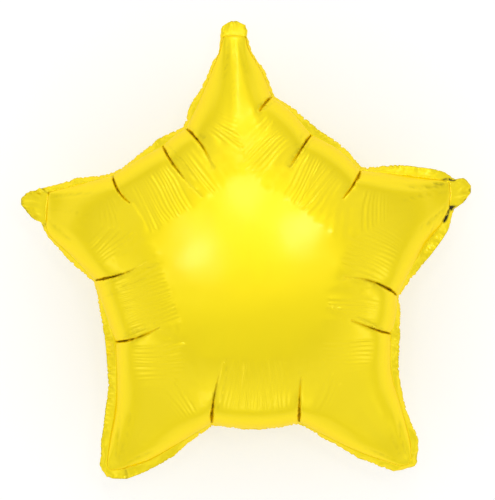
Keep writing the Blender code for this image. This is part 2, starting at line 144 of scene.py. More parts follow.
STATIONS = (
    Station("end_top_right", (1.0, 232.0), (-0.5, 11.3), Turn.TIP),
    Station("top_neck_right", (4.0, 218.0), (1.0, 1.0)),
    Station("top_flank_right", (17.0, 196.0), (2.1, 1.0)),
    Station("pleat_top_right", (27.0, 171.0), (2.1, 1.5), Turn.PLEAT),
    Station("shoulder_right_high", (45.8, 156.5), (2.5, 3.0)),
    Station("pleat_shoulder_right", (66.5, 133.0), (4.5, 7.5), Turn.PLEAT),
    Station("shoulder_right_low", (93.5, 118.0), (3.1, 3.7)),
    Station("pleat_arm_right", (114.9, 97.5), (2.1, 3.5), Turn.PLEAT),
    Station("arm_right_upper", (155.1, 93.5), (1.0, 9.0)),
    Station("arm_right_upper_end", (191.0, 89.0), (4.0, 8.6)),
    Station("end_right_upper", (204.5, 86.0), (6.5, 3.0), Turn.TIP),
    Station("flap_right_upper", (205.5, 80.0), (14.0, 9.5)),
    Station("tip_right", (206.0, 73.0), (20.5, 6.5)),
    Station("flap_right_lower", (205.2, 65.0), (15.0, 2.5)),
    Station("end_right_lower", (204.0, 58.0), (6.0, 1.0), Turn.TIP),
    Station("arm_right_lower_end", (196.0, 43.0), (6.5, -6.0)),
    Station("arm_right_lower", (180.0, 23.0), (9.0, -6.0)),
    Station("arm_right_root", (164.0, -4.0), (4.5, -4.5)),
    Station("pleat_waist_right", (151.5, -28.0), (2.6, -0.3), Turn.PLEAT),
    Station("waist_right", (150.5, -48.0), (5.2, 1.0)),
    Station("pleat_hip_right", (145.6, -65.5), (9.7, -0.5), Turn.PLEAT),
    Station("leg_right_high", (146.5, -104.0), (7.5, 2.0)),
    Station("leg_right_calf", (156.5, -140.0), (5.1, -1.0)),
    Station("leg_right_shin", (165.1, -172.0), (7.0, 2.0)),
    Station("end_leg_right_outer", (166.5, -189.0), (6.0, 2.5), Turn.TIP),
    Station("tip_leg_right", (163.5, -196.0), (6.0, -2.0)),
    Station("end_leg_right_inner", (155.1, -198.0), (-4.0, -5.1), Turn.TIP),
    Station("leg_right_sole", (117.0, -185.1), (-2.0, -5.5)),
    Station("leg_right_instep", (85.1, -170.0), (-1.5, -3.0)),
    Station("pleat_crotch_right", (54.0, -153.6), (0.0, -2.5), Turn.PLEAT),
    Station("belly_right", (32.0, -158.2), (0.0, -2.0)),
    Station("belly_middle", (9.3, -159.4), (0.0, -2.0)),
    Station("belly_left", (-12.0, -158.0), (0.0, -2.0)),
    Station("pleat_crotch_left", (-33.0, -154.6), (0.0, -2.5), Turn.PLEAT),
    Station("leg_left_instep", (-62.0, -173.0), (2.5, -5.1)),
    Station("leg_left_sole", (-95.1, -192.0), (5.5, -7.0)),
    Station("end_leg_left_inner", (-121.0, -201.0), (3.0, -10.0), Turn.TIP),
    Station("tip_leg_left", (-135.1, -202.0), (-3.0, -7.0)),
    Station("end_leg_left_outer", (-138.0, -195.1), (-7.2, -3.0), Turn.TIP),
    Station("leg_left_shin", (-135.1, -172.0), (-8.2, 2.0)),
    Station("leg_left_calf", (-130.0, -142.0), (-9.0, 1.0)),
    Station("leg_left_high", (-128.0, -110.0), (-9.0, 1.0)),
    Station("pleat_hip_left", (-129.4, -73.0), (-10.3, -1.0), Turn.PLEAT),
    Station("waist_left", (-140.5, -40.0), (-5.1, -2.0)),
    Station("pleat_waist_left", (-149.5, -12.0), (-1.5, -2.0), Turn.PLEAT),
    Station("arm_left_lower", (-170.0, 9.0), (-3.5, -3.5)),
    Station("arm_left_lower_end", (-194.5, 32.0), (-3.0, -1.0)),
    Station("end_left_lower", (-199.0, 42.0), (-5.1, 3.5), Turn.TIP),
    Station("flap_left_lower", (-199.0, 50.5), (-15.5, 1.0)),
    Station("tip_left", (-198.5, 60.0), (-26.0, 5.5)),
    Station("flap_left_upper", (-197.6, 69.5), (-21.0, 6.8)),
    Station("end_left_upper", (-197.0, 76.0), (-11.0, 2.3), Turn.TIP),
    Station("arm_left_upper", (-169.0, 83.0), (-2.0, 5.2)),
    Station("arm_left_root", (-147.0, 88.5), (-2.0, 3.7)),
    Station("pleat_arm_left", (-131.4, 92.5), (0.5, 2.5), Turn.PLEAT),
    Station("shoulder_left_low", (-107.0, 108.0), (-2.5, 2.7)),
    Station("pleat_shoulder_left", (-82.0, 122.2), (-4.0, 6.5), Turn.PLEAT),
    Station("shoulder_left_high", (-71.0, 131.5), (-3.0, 4.0)),
    Station("pleat_top_left", (-59.0, 139.0), (-2.0, 1.4), Turn.PLEAT),
    Station("top_flank_left", (-49.0, 160.0), (-6.0, 2.0)),
    Station("top_flank_left_mid", (-40.0, 180.0), (-4.5, 0.0)),
    Station("top_flank_left_high", (-29.0, 207.0), (-1.5, 1.0)),
    Station("top_neck_left", (-24.5, 219.0), (-1.0, 0.5)),
    Station("end_top_left", (-22.0, 232.0), (-0.5, 10.0), Turn.TIP),
    Station("tip_top", (-10.5, 233.0), (-1.0, 14.7)),
)

PLEATS = (
    Pleat("pleat_top_right", 20.0, -132.0, 10.0, 0.8),
    Pleat("pleat_shoulder_right", 40.0, -126.0, 6.0, 1.6),
    Pleat("pleat_arm_right", 34.0, -116.0, -16.0, -1.2),
    Pleat("pleat_waist_right", 58.0, 140.0, 42.0, 1.8),
    Pleat("pleat_hip_right", 44.0, 162.0, -4.0, -1.6),
    Pleat("pleat_crotch_right", 46.0, 96.0, -14.0, 1.2),
    Pleat("pleat_crotch_left", 64.0, 88.0, -18.0, -1.4),
    Pleat("pleat_hip_left", 48.0, 8.0, 22.0, 1.4),
    Pleat("pleat_waist_left", 56.0, 6.0, 24.0, -1.8),
    Pleat("pleat_arm_left", 34.0, -74.0, 36.0, 1.0),
    Pleat("pleat_shoulder_left", 64.0, -62.0, 18.0, 1.4),
    Pleat("pleat_top_left", 48.0, -42.0, -26.0, -1.8),
)


@dataclass(frozen=True)
class Crease:
    """A thin sharp line in the film beside a pleat.

    Attributes:
        start: Where it starts, in units.
        end: Where it ends, in units.
        bow: How far its middle lies to the left of the straight way, as a share of its length.
        depth: How deep it is pressed.
        width: How far from its line the film is drawn in.
        crack: How dark the painted shade in the fold shows along it, and past 1 how unbroken.
        steps: Number of points along it.
    """

    start: tuple[float, float]
    end: tuple[float, float]
    bow: float = 0.0
    depth: float = 1.0
    width: float = 1.1
    crack: float = 0.15
    steps: int = 7

    def line(self) -> np.ndarray:
        """Gives the crease's points in plan, on a flat bow from its start to its end.

        Returns:
            An array of points.
        """
        start, end = UNIT * np.array(self.start), UNIT * np.array(self.end)
        way = end - start
        share = np.linspace(0.0, 1.0, self.steps)[:, None]
        side = np.array([-way[1], way[0]])
        return start + share * way + 4.0 * share * (1.0 - share) * self.bow * side


CREASES = (
    Crease((-60.0, 141.0), (-33.0, 120.0), 0.06, 1.3),
    Crease((-81.0, 119.0), (-42.0, 72.0), 0.05, 1.2),
    Crease((-78.0, 123.0), (-46.0, 84.0), 0.04, 0.9),
    Crease((-131.0, 86.0), (-112.0, 64.0), -0.05, 0.8),
    Crease((-126.0, 84.0), (-108.0, 62.0), -0.05, 0.6),
    Crease((-121.0, 81.0), (-103.0, 60.0), -0.05, 0.5),
    Crease((-138.0, -17.0), (-86.0, 3.0), 0.04, 1.0),
    Crease((-132.0, -24.0), (-90.0, -8.0), 0.04, 0.9),
    Crease((-140.0, -29.0), (-96.0, -16.0), 0.03, 0.6),
    Crease((-128.0, -74.0), (-90.0, -55.0), 0.03, 1.2),
    Crease((-118.0, -64.0), (-84.0, -52.0), 0.02, 0.9),
    Crease((-112.0, -74.0), (-92.0, -62.0), 0.02, 0.6),
    Crease((-28.0, -140.0), (-17.0, -84.0), -0.05, 0.7),
    Crease((52.0, -146.0), (55.0, -96.0), 0.03, 0.7),
    Crease((146.0, -66.0), (113.0, -50.0), -0.03, 1.2),
    Crease((131.0, -58.0), (106.0, -46.0), -0.02, 0.9),
    Crease((150.0, -24.0), (122.0, -16.0), -0.05, 1.3),
    Crease((122.0, -16.0), (82.0, -8.0), -0.05, 0.8),
    Crease((110.0, 96.0), (84.0, 60.0), 0.03, 0.7),
    Crease((66.0, 134.0), (38.0, 90.0), -0.04, 1.3),
    Crease((70.0, 130.0), (40.0, 84.0), -0.04, 1.0),
    Crease((60.0, 136.0), (48.0, 116.0), -0.02, 0.8),
    Crease((27.0, 171.0), (12.0, 156.0), -0.03, 1.2),
    Crease((31.0, 166.0), (15.0, 151.0), -0.03, 0.9),
    Crease((-17.0, 228.0), (-21.0, 186.0), 0.03, 1.0),
    Crease((-12.0, 229.0), (-11.0, 150.0), 0.02, 0.6),
    Crease((-4.0, 228.0), (3.0, 188.0), -0.03, 0.9),
    Crease((202.0, 82.0), (158.0, 80.0), 0.02, 1.5),
    Crease((203.0, 84.0), (186.0, 84.5), 0.05, 1.6, 1.2, 0.3),
    Crease((203.5, 59.0), (197.0, 46.0), 0.08, 1.8, 1.2, 1.5),
    Crease((203.0, 76.0), (150.0, 66.0), -0.02, 0.8),
    Crease((202.0, 64.0), (172.0, 38.0), 0.03, 1.5),
    Crease((200.0, 60.0), (184.0, 36.0), 0.03, 1.2),
    Crease((-195.0, 70.0), (-150.0, 74.0), 0.02, 1.1),
    Crease((-196.0, 58.0), (-150.0, 52.0), 0.02, 0.6),
    Crease((-196.0, 48.0), (-168.0, 26.0), -0.02, 1.1),
    Crease((-131.0, -196.0), (-124.0, -140.0), -0.03, 1.6, 1.3, 0.08),
    Crease((-128.0, -195.0), (-112.0, -142.0), -0.03, 1.5, 1.3, 0.08),
    Crease((-122.0, -196.0), (-88.0, -180.0), 0.02, 0.9),
    Crease((161.0, -190.0), (152.0, -146.0), 0.03, 1.6, 1.3, 0.08),
    Crease((157.0, -190.0), (138.0, -146.0), 0.03, 1.3, 1.3, 0.08),
    Crease((152.0, -193.0), (118.0, -178.0), -0.02, 0.9),
)


# Folds of the fin at the tips, each pressed down and darkened with painted shade
FIN_FOLDS = (
    Crease((203.0, 60.0), (216.0, 57.0), 0.1, 3.0, 1.7, 3.0),
    Crease((204.0, 58.0), (199.0, 47.0), 0.05, 1.5, 1.1, 3.0),
    Crease((197.0, 87.0), (209.0, 88.5), 0.05, 2.0, 1.2, 3.0),
    Crease((-199.0, 44.0), (-206.0, 40.0), 0.05, 2.0, 1.2, 0.4),
    Crease((-197.0, 75.0), (-206.0, 82.0), 0.05, 2.0, 1.2, 0.4),
    Crease((-120.0, -201.0), (-118.0, -212.0), 0.05, 2.0, 1.2, 0.4),
    Crease((166.0, -188.0), (174.0, -186.0), 0.05, 2.0, 1.2, 0.4),
)


def foot(points: np.ndarray, loop: np.ndarray) -> tuple[np.ndarray, np.ndarray]:
    """Finds the nearest place on a closed loop for each point.

    Args:
        points: Points in plan.
        loop: The loop's points in order.

    Returns:
        The distance to the loop, and the place on it as a fractional index.
    """
    tree = KDTree(len(loop))
    for index, (x, y) in enumerate(loop):
        tree.insert((x, y, 0.0), index)
    tree.balance()
    near = np.array([tree.find((x, y, 0.0))[1] for x, y in points])
    gap = np.full(len(points), np.inf)
    place = near.astype(float)
    for shift in (-1, 0):
        first = (near + shift) % len(loop)
        start = loop[first]
        along = loop[(first + 1) % len(loop)] - start
        share = ((points - start) * along).sum(1) / (along**2).sum(1)
        share = np.clip(share, 0.0, 1.0)
        away = np.linalg.norm(points - start - share[:, None] * along, axis=1)
        closer = away < gap
        gap = np.where(closer, away, gap)
        place = np.where(closer, first + share, place)
    return gap, place


def smooth(share: np.ndarray) -> np.ndarray:
    """Passes smoothly from 0 to 1 as `share` does."""
    share = np.clip(share, 0.0, 1.0)
    return share * share * (3.0 - 2.0 * share)


def along_line(points: np.ndarray, line: np.ndarray) -> tuple[np.ndarray, np.ndarray, np.ndarray]:
    """Finds how far points lie from a run of straight pieces.

    Args:
        points: Points in plan.
        line: The run's points in order.

    Returns:
        The distance to the run, the nearest place on it as a share of its length, and 1 for a
        point to the left of the run or -1 for one to its right.
    """
    off = np.full(len(points), np.inf)
    share = np.zeros(len(points))
    side = np.ones(len(points))
    for k, (start, stop) in enumerate(zip(line[:-1], line[1:])):
        along = stop - start
        part = np.clip(((points - start) @ along) / (along @ along), 0.0, 1.0)
        away = np.linalg.norm(points - start - part[:, None] * along, axis=1)
        closer = away < off
        left = along[0] * (points[:, 1] - start[1]) > along[1] * (points[:, 0] - start[0])
        off = np.where(closer, away, off)
        share = np.where(closer, (k + part) / (len(line) - 1), share)
        side = np.where(closer, np.where(left, 1.0, -1.0), side)
    return off, share, side


def inside(points: np.ndarray, loop: np.ndarray, at_once: int = 2000) -> np.ndarray:
    """Tells which points lie within a closed loop.

    Args:
        points: Points in plan.
        loop: The loop's points in order.
        at_once: About how many points are looked at in one step, which bounds the memory.

    Returns:
        One truth value a point.
    """
    x0, y0 = loop[:, 0], loop[:, 1]
    x1, y1 = np.roll(x0, -1), np.roll(y0, -1)
    rise = np.where(y1 == y0, 1.0, y1 - y0)
    found = []
    for block in np.array_split(points, max(1, len(points) // at_once)):
        x, y = block[:, 0, None], block[:, 1, None]
        spans = (y0 > y) != (y1 > y)
        found.append((spans & (x < (x1 - x0) * (y - y0) / rise + x0)).sum(1) % 2 == 1)
    return np.concatenate(found)


@dataclass
class SealPath:
    """The seal of the two films as a closed run of points.

    Attributes:
        stations: Its measured places, clockwise.
        fine: Spacing of its points where it is gathered.
        wide: Spacing where it lies smooth, on the arms.
        gather_reach: Distance from the middle beyond which the seal lies smooth.
        gather_fade: How far before that the gathers begin to fade.
        ease: How widely its corners are rounded off for the lines that run square to it.
        points: Its points in plan.
        out: For each point, how far outside it the fin's edge lies, along x and y.
        run: The way along the seal to each point, and at last right round.
        inward: The way into the star at each point.
        eased: Its points with the corners rounded off.
    """

    stations: tuple[Station, ...] = STATIONS
    fine: float = 0.9
    wide: float = 1.6
    gather_reach: float = 176.0
    gather_fade: float = 30.0
    ease: float = 9.0
    points: np.ndarray = field(init=False)
    out: np.ndarray = field(init=False)
    run: np.ndarray = field(init=False)
    inward: np.ndarray = field(init=False)
    eased: np.ndarray = field(init=False)

    def __post_init__(self) -> None:
        """Lays the points out, with the run along the seal and the way into the star at each."""
        both = self._through()
        self.points, self.out = both[:, :2], both[:, 2:]
        lengths = np.linalg.norm(np.roll(self.points, -1, axis=0) - self.points, axis=1)
        self.run = np.concatenate([[0.0], np.cumsum(lengths)])
        self.eased = self._eased()
        ahead = np.roll(self.points, -2, axis=0) - np.roll(self.points, 2, axis=0)
        ahead /= np.linalg.norm(ahead, axis=1)[:, None]
        self.inward = np.column_stack([ahead[:, 1], -ahead[:, 0]])

    def gathered(self, radius: np.ndarray | float) -> np.ndarray | float:
        """Gives how strongly the film is gathered, from 0 to 1, at a distance from the middle."""
        return np.clip((self.gather_reach - radius) / self.gather_fade, 0.0, 1.0)

    def _eased(self) -> np.ndarray:
        """Rounds the seal's corners off, so that lines square to it fan out evenly.

        Returns:
            One point for each of the seal's own points.
        """
        length = self.run[-1]
        # One point a millimetre, so that the rounding's width in points is its width in millimetres
        even = np.arange(0.0, length, 1.0)
        loop = np.vstack([self.points, self.points[:1]])
        x, y = (np.interp(even, self.run, loop[:, i]) for i in (0, 1))
        reach = int(3 * self.ease)
        weights = np.exp(-0.5 * (np.arange(-reach, reach + 1) / self.ease) ** 2)
        weights /= weights.sum()
        rounded = [
            np.convolve(np.concatenate([row[-reach:], row, row[:reach]]), weights, "valid")
            for row in (x, y)
        ]
        return np.column_stack([np.interp(self.run[:-1], even, row, period=length) for row in rounded])

    def _through(self) -> np.ndarray:
        """Runs a smooth curve through the stations, kept sharp at pleats and tip corners.

        Returns:
            Rows of x, y, out_x and out_y.
        """
        rows = UNIT * np.array([[*s.point, *s.out] for s in self.stations])
        sharp = [s.turn is not Turn.SMOOTH for s in self.stations]
        count = len(rows)
        run = []
        for i in range(count):
            j, k = (i + 1) % count, (i + 2) % count
            here, there = rows[i], rows[j]
            lead = there - here if sharp[i] else (there - rows[i - 1]) / 2
            trail = there - here if sharp[j] else (rows[k] - here) / 2
            middle = np.linalg.norm((here[:2] + there[:2]) / 2)
            step = self.fine if self.gathered(middle) > 0.0 else self.wide
            pieces = max(1, round(np.linalg.norm(there[:2] - here[:2]) / step))
            t = (np.arange(pieces) / pieces)[:, None]
            run.append(
                (2 * t**3 - 3 * t**2 + 1) * here
                + (t**3 - 2 * t**2 + t) * lead
                + (3 * t**2 - 2 * t**3) * there
                + (t**3 - t**2) * trail
            )
        return np.vstack(run)


@dataclass
class FlatSolver:
    """Solves for a smooth field over the triangles of a plan.

    Attributes:
        points: The plan's points.
        faces: Its triangles, as rows of three indices.
        tolerance: Share of the first error at which it stops.
        most_rounds: Number of rounds after which it stops.
        least: What a size is kept above, so that nothing is divided by 0.
        ends: The two ends of each triangle's edges, both ways round.
        pull: How hard each edge pulls.
        area: Each point's share of the area.
    """

    points: np.ndarray
    faces: np.ndarray
    tolerance: float = 1e-12
    most_rounds: int = 4000
    least: float = 1e-9
    ends: tuple[np.ndarray, np.ndarray] = field(init=False)
    pull: np.ndarray = field(init=False)
    area: np.ndarray = field(init=False)

    def __post_init__(self) -> None:
        """Works out each edge's pull and each point's share of the area."""
        starts, stops, pulls = [], [], []
        corner = [self.points[self.faces[:, i]] for i in range(3)]
        one, two = corner[1] - corner[0], corner[2] - corner[0]
        size = np.maximum(np.abs(one[:, 0] * two[:, 1] - one[:, 1] * two[:, 0]), self.least)
        for i in range(3):
            j, k = (i + 1) % 3, (i + 2) % 3
            first, second = corner[j] - corner[i], corner[k] - corner[i]
            # Half the cotangent of the angle that faces the edge from j to k
            cot = (first * second).sum(1) / size / 2.0
            starts += [self.faces[:, j], self.faces[:, k]]
            stops += [self.faces[:, k], self.faces[:, j]]
            pulls += [cot, cot]
        self.ends = (np.concatenate(starts), np.concatenate(stops))
        self.pull = np.concatenate(pulls)
        # Each corner takes a third of its triangle, and size is twice the triangle's area
        count = len(self.points)
        self.area = sum(
            np.bincount(self.faces[:, i], size / 6.0, minlength=count) for i in range(3)
        )

    def solve(self, held: np.ndarray, values: np.ndarray, load: float) -> np.ndarray:
        """Finds the field that an even load bows up between the points where it is held.

        Args:
            held: Which points are held.
            values: The field's value at each held point.
            load: How strongly the field bows up, or 0 for a field that only spreads.

        Returns:
            The field at every point.
        """
        first, second = self.ends
        count = len(self.points)
        own = np.bincount(first, self.pull, minlength=count)

        def pulled(x: np.ndarray) -> np.ndarray:
            """Gives how hard each point's neighbours pull on it."""
            return own * x - np.bincount(first, self.pull * x[second], minlength=count)

        free = ~held
        x = np.where(held, values, 0.0)
        rest = np.where(free, self.area * load - pulled(x), 0.0)
        scale = 1.0 / np.maximum(own, self.least)
        guess = scale * rest
        way = guess.copy()
        energy = float(rest @ guess)
        target = energy * self.tolerance
        for _ in range(self.most_rounds):
            push = np.where(free, pulled(way), 0.0)
            step = energy / float(way @ push)
            x += step * way
            rest -= step * push
            guess = scale * rest
            new = float(rest @ guess)
            if new < target:
                break
            way = guess + new / energy * way
            energy = new
        return x


@dataclass
class FilledBody:
    """The filled body: both films from the seal inwards, as one closed skin.

    Attributes:
        seal: The seal that it hangs from.
        pleats: Its deep folds.
        creases: Its thin sharp lines.
        height: Half the thickness in the middle.
        rest_height: How far under the seal the back is pressed flat.
        dome_reach: Distance from the middle at which the dome alone would reach the seal.
        dome_power: How long the dome stays level.
        blend: How sharply the walls pass into the dome.
        valley_radius: Distance from the middle up to which the seal is that of a valley.
        valley_fade: How far beyond that the valleys' fullness ends.
        valley_fullness: How much fuller the film stands over the valleys.
        arm_start: Distance from the middle at which the arms begin.
        arm_fade: How far beyond that they are fully arms.
        arm_slack: Share of the height that the arms lack.
        tip_slack: Share of the height that is lacking at a tip.
        tip_reach: How far from the tip that is felt.
        brow: How high the film stands where the gathers end.
        brow_start: Distance from the seal at which that rise begins.
        brow_depth: Distance from the seal of its crest.
        brow_end: Distance from the seal at which it ends.
        brow_edge: How steeply it falls past its crest.
        facing_start: How squarely the seal faces the middle where the gathers begin.
        facing_fade: How much more squarely it faces it where they are full.
        slit_width: How wide a pleat's slit is.
        slit_narrow: That width's share away from the seal.
        slit_reach: How far from the seal the slit goes down to the seal's plane.
        slit_depth: How deep it is past that.
        slit_fade: How soon it grows shallow along the pleat.
        dip_depth: Share of the height by which the film dips beside a pleat.
        dip_width: How wide that dip is.
        dip_fade: How soon it ends along the pleat.
        step_edge: How sharply the film steps from one side of a pleat to the other.
        step_reach: How far from the pleat the step is felt.
        step_fade: How far along the pleat the step lasts.
        step_height: Height over the seal at which the step is full.
        crack_width: How wide the painted shade along a pleat is.
        crack_fade: How far along the pleat the painted shade lasts.
        crack_end: How much before the pleat's end it is gone.
        crease_limit: Share of the height that a crease may press in.
        pleat_step: Spacing of the points along a pleat.
        pleat_rows: Distances from a pleat of the rows of points beside it.
        pleat_room: Least room round such a point, as a share of its row's distance.
        pleat_inset: Least distance of such a point from the seal.
        rows: Distances from the seal of the rows of points along it.
        row_slack: Share of its distance that a row's point may lack at a corner.
        row_gap: Least spacing in a row, as a share of the seal's.
        room: Least room round a point, as a share of its spacing.
        grid: Spacing of the points everywhere else.
        grid_reach: Distance from the middle beyond which there is no star.
        grid_inset: Least distance of those points from the seal.
        cell: Size of the squares that the points are looked up in.
        plan: The points in plan, those of the seal first.
        faces: Their triangles.
        lift: The film's height over the seal at each point.
        depth: Each point's distance from the seal.
        eased_place: The nearest place on the eased seal, as a fractional index.
        gather: How strongly the film is gathered at each point.
        crack: How dark the painted shade in the folds is at each point.
    """

    seal: SealPath
    pleats: tuple[Pleat, ...] = PLEATS
    creases: tuple[Crease, ...] = CREASES
    height: float = 80.4
    rest_height: float = 79.73
    dome_reach: float = 300.0
    dome_power: float = 2.2
    blend: float = 5.0
    valley_radius: float = 150.0
    valley_fade: float = 40.0
    valley_fullness: float = 0.27
    arm_start: float = 85.0
    arm_fade: float = 80.0
    arm_slack: float = 0.2
    tip_slack: float = 0.42
    tip_reach: float = 24.0
    brow: float = 0.6
    brow_start: float = 20.0
    brow_depth: float = 66.0
    brow_end: float = 118.0
    brow_edge: float = 3.5
    facing_start: float = 0.4
    facing_fade: float = 0.35
    slit_width: float = 0.3
    slit_narrow: float = 0.6
    slit_reach: float = 11.0
    slit_depth: float = 2.0
    slit_fade: float = 1.0
    dip_depth: float = 0.09
    dip_width: float = 8.0
    dip_fade: float = 3.0
    step_edge: float = 0.8
    step_reach: float = 13.0
    step_fade: float = 2.5
    step_height: float = 25.0
    crack_width: float = 0.42
    crack_fade: float = 1.5
    crack_end: float = 0.2
    crease_limit: float = 0.3
    pleat_step: float = 1.6
    pleat_rows: tuple[float, ...] = (0.32, 0.75, 1.35, 2.3, 3.8, 5.8)
    pleat_room: float = 0.8
    pleat_inset: float = 0.6
    rows: tuple[float, ...] = (
        0.35, 0.9, 1.6, 2.5, 3.6, 4.9, 6.4, 8.1, 10.0, 12.1, 14.4, 16.9, 19.5, 22.2, 25.0, 27.8,
        30.6, 33.4, 36.2, 39.0, 41.8, 44.6, 47.4, 50.2, 53.0, 55.8, 58.6, 61.4, 64.2, 67.0,
    )
    row_slack: float = 0.96
    row_gap: float = 0.72
    room: float = 0.62
    grid: float = 3.4
    grid_reach: float = 226.0
    grid_inset: float = 1.5
    cell: float = 2.0
    plan: np.ndarray = field(init=False)
    faces: np.ndarray = field(init=False)
    lift: np.ndarray = field(init=False)
    depth: np.ndarray = field(init=False)
    eased_place: np.ndarray = field(init=False)
    gather: np.ndarray = field(init=False)
    crack: np.ndarray = field(init=False)

    def lay_out(self) -> None:
        """Places the plan's points and joins them into triangles."""
        seal = self.seal.points
        lines = [pleat.line(self.pleat_step) for pleat in self.pleats]
        kept = [tuple(p) for p in seal]
        edges = [(i, (i + 1) % len(seal)) for i in range(len(seal))]
        for line in lines:
            last = int(np.linalg.norm(seal - line[0], axis=1).argmin())
            for point in line[1:]:
                edges.append((last, len(kept)))
                last = len(kept)
                kept.append(tuple(point))
        kept = self._keep(kept, self._beside(lines), self.pleat_inset, shared=True)
        for depth in self.rows:
            row = seal + self.seal.inward * depth
            clear = foot(row, seal)[0] > self.row_slack * depth
            last, fresh = None, []
            for point, ok in zip(row, clear):
                if ok and (last is None or math.dist(point, last) > self.row_gap * self.seal.fine):
                    fresh.append((point, self.room * self.seal.fine))
                    last = point
            kept = self._keep(kept, fresh)
        span = int(self.grid_reach / self.grid) + 1
        mesh = np.array([
            ((i + 0.5 * (j % 2)) * self.grid, j * self.grid * math.sqrt(0.75))
            for j in range(-2 * span, 2 * span)
            for i in range(-span, span)
        ])
        mesh = mesh[np.linalg.norm(mesh, axis=1) < self.grid_reach]
        mesh = mesh[inside(mesh, seal)]
        mesh = mesh[foot(mesh, seal)[0] > self.grid_inset]
        kept = self._keep(kept, [(p, self.room * self.grid) for p in mesh])
        plan, _, faces, *_ = delaunay_2d_cdt([Vector(p) for p in kept], edges, [], 1, 1e-7)
        self.plan = np.array([tuple(p) for p in plan])
        self.faces = np.array(faces)

    def _beside(self, lines: list[np.ndarray]) -> list[tuple[np.ndarray, float]]:
        """Gives the points in rows beside the pleats.

        Args:
            lines: Each pleat's points.

        Returns:
            The points, each with the room that it needs.
        """
        fresh = []
        for line in lines:
            ahead = np.gradient(line, axis=0)
            ahead /= np.linalg.norm(ahead, axis=1)[:, None]
            square = np.column_stack([-ahead[:, 1], ahead[:, 0]])
            for out in self.pleat_rows:
                for side in (out, -out):
                    fresh += [(p, self.pleat_room * out) for p in line + square * side]
        return fresh

    def _keep(
        self,
        kept: list[tuple[float, float]],
        fresh: list[tuple[np.ndarray, float]],
        inset: float = 0.0,
        shared: bool = False,
    ) -> list[tuple[float, float]]:
        """Adds fresh points that have room beside those kept before.

        Args:
            kept: The points so far.
            fresh: New points, each with the room that it needs.
            inset: Least distance inside the seal.
            shared: Whether a fresh point also takes room from the fresh ones after it.

        Returns:
            The points with the new ones behind.
        """
        cells: dict[tuple[int, int], list[tuple[float, float]]] = {}
        size = self.cell
        for x, y in kept:
            cells.setdefault((int(x // size), int(y // size)), []).append((x, y))
        spots = np.array([p for p, _ in fresh])
        good = inside(spots, self.seal.points)
        if inset:
            good &= foot(spots, self.seal.points)[0] > inset
        new = []
        for (x, y), room in [(p.tolist(), r) for (p, r), ok in zip(fresh, good) if ok]:
            column, row = int(x // size), int(y // size)
            reach = int(room // size) + 1
            near = (
                other
                for i in range(column - reach, column + reach + 1)
                for j in range(row - reach, row + reach + 1)
                for other in cells.get((i, j), ())
            )
            if all((ox - x) ** 2 + (oy - y) ** 2 >= room * room for ox, oy in near):
                new.append((x, y))
                if shared:
                    cells.setdefault((column, row), []).append((x, y))
        return kept + new

    def raise_film(self) -> None:
        """Works out the film's height over the seal at every point of the plan."""
        rim = len(self.seal.points)
        self.depth, place = foot(self.plan, self.seal.points)
        loop = np.vstack([self.seal.points, self.seal.points[:1]])
        seat = np.column_stack([np.interp(place, np.arange(rim + 1), loop[:, i]) for i in (0, 1)])
        self.gather = self._gathered(np.linalg.norm(seat, axis=1))
        lift = self._filled()
        near = self.brow_depth - self.depth
        climb = np.clip(1.0 - near / (self.brow_depth - self.brow_start), 0.0, 1.0)
        fall = np.clip(1.0 + near / (self.brow_end - self.brow_depth), 0.0, 1.0)
        lift += self.brow * self.gather * np.minimum(smooth(climb), fall**self.brow_edge)
        lift *= 1.0 - self.tip_slack * np.exp(-((self._from_tips()[0] / self.tip_reach) ** 2))
        self.crack = np.zeros(len(self.plan))
        self._pleat(lift)
        self._crease(lift)
        lift[:rim] = 0.0
        self.lift = lift * self.height / lift.max()

    def _filled(self) -> np.ndarray:
        """Works out the smooth film: a bowed sheet blended with a dome, fuller over the valleys.

        Returns:
            The film's height at each point of the plan.
        """
        count = len(self.plan)
        solver = FlatSolver(self.plan, self.faces)
        held = np.zeros(count, bool)
        held[: len(self.seal.points)] = True
        wall = np.sqrt(2.0 * np.maximum(solver.solve(held, np.zeros(count), 1.0), 0.0))
        radius = np.linalg.norm(self.plan, axis=1)
        dome = self.height * (1.0 - (radius / self.dome_reach) ** self.dome_power)
        lift = (np.maximum(wall, 1e-6) ** -self.blend + dome**-self.blend) ** (-1 / self.blend)
        at_seal = 1.0 - smooth((radius - self.valley_radius) / self.valley_fade)
        valley = solver.solve(held, at_seal, 0.0)
        arm = (1.0 - valley) * smooth((radius - self.arm_start) / self.arm_fade)
        lift = self.height * (lift / lift.max()) ** (1.0 - self.valley_fullness * valley)
        return lift * (1.0 - self.arm_slack * arm)

    def _pleat(self, lift: np.ndarray) -> None:
        """Folds the pleats into the film.

        Args:
            lift: The film's height, which is changed.
        """
        for pleat in self.pleats:
            off, share, side = along_line(self.plan, pleat.line(self.pleat_step))
            fade = np.clip(1.0 - share, 0.0, 1.0)
            step = pleat.step * side * np.tanh(off / self.step_edge) * np.exp(-off / self.step_reach)
            lift += 0.5 * step * smooth(self.step_fade * fade) * smooth(lift / self.step_height)
            dip = self.dip_depth * fade**self.dip_fade * np.exp(-((off / self.dip_width) ** 2))
            lift *= 1.0 - dip
            root = np.exp(-pleat.length * share / self.slit_reach)
            deep = np.maximum(lift * root, np.minimum(self.slit_depth * fade**self.slit_fade, lift))
            lift -= deep * np.exp(-off / (self.slit_width * (self.slit_narrow + root)))
            # Painted shade: the colour is darkened along the pleat's slit, where its walls shade it
            dark = smooth(self.crack_fade * fade - self.crack_end)
            dark *= np.exp(-((off / self.crack_width) ** 2))
            self.crack = np.maximum(self.crack, dark)

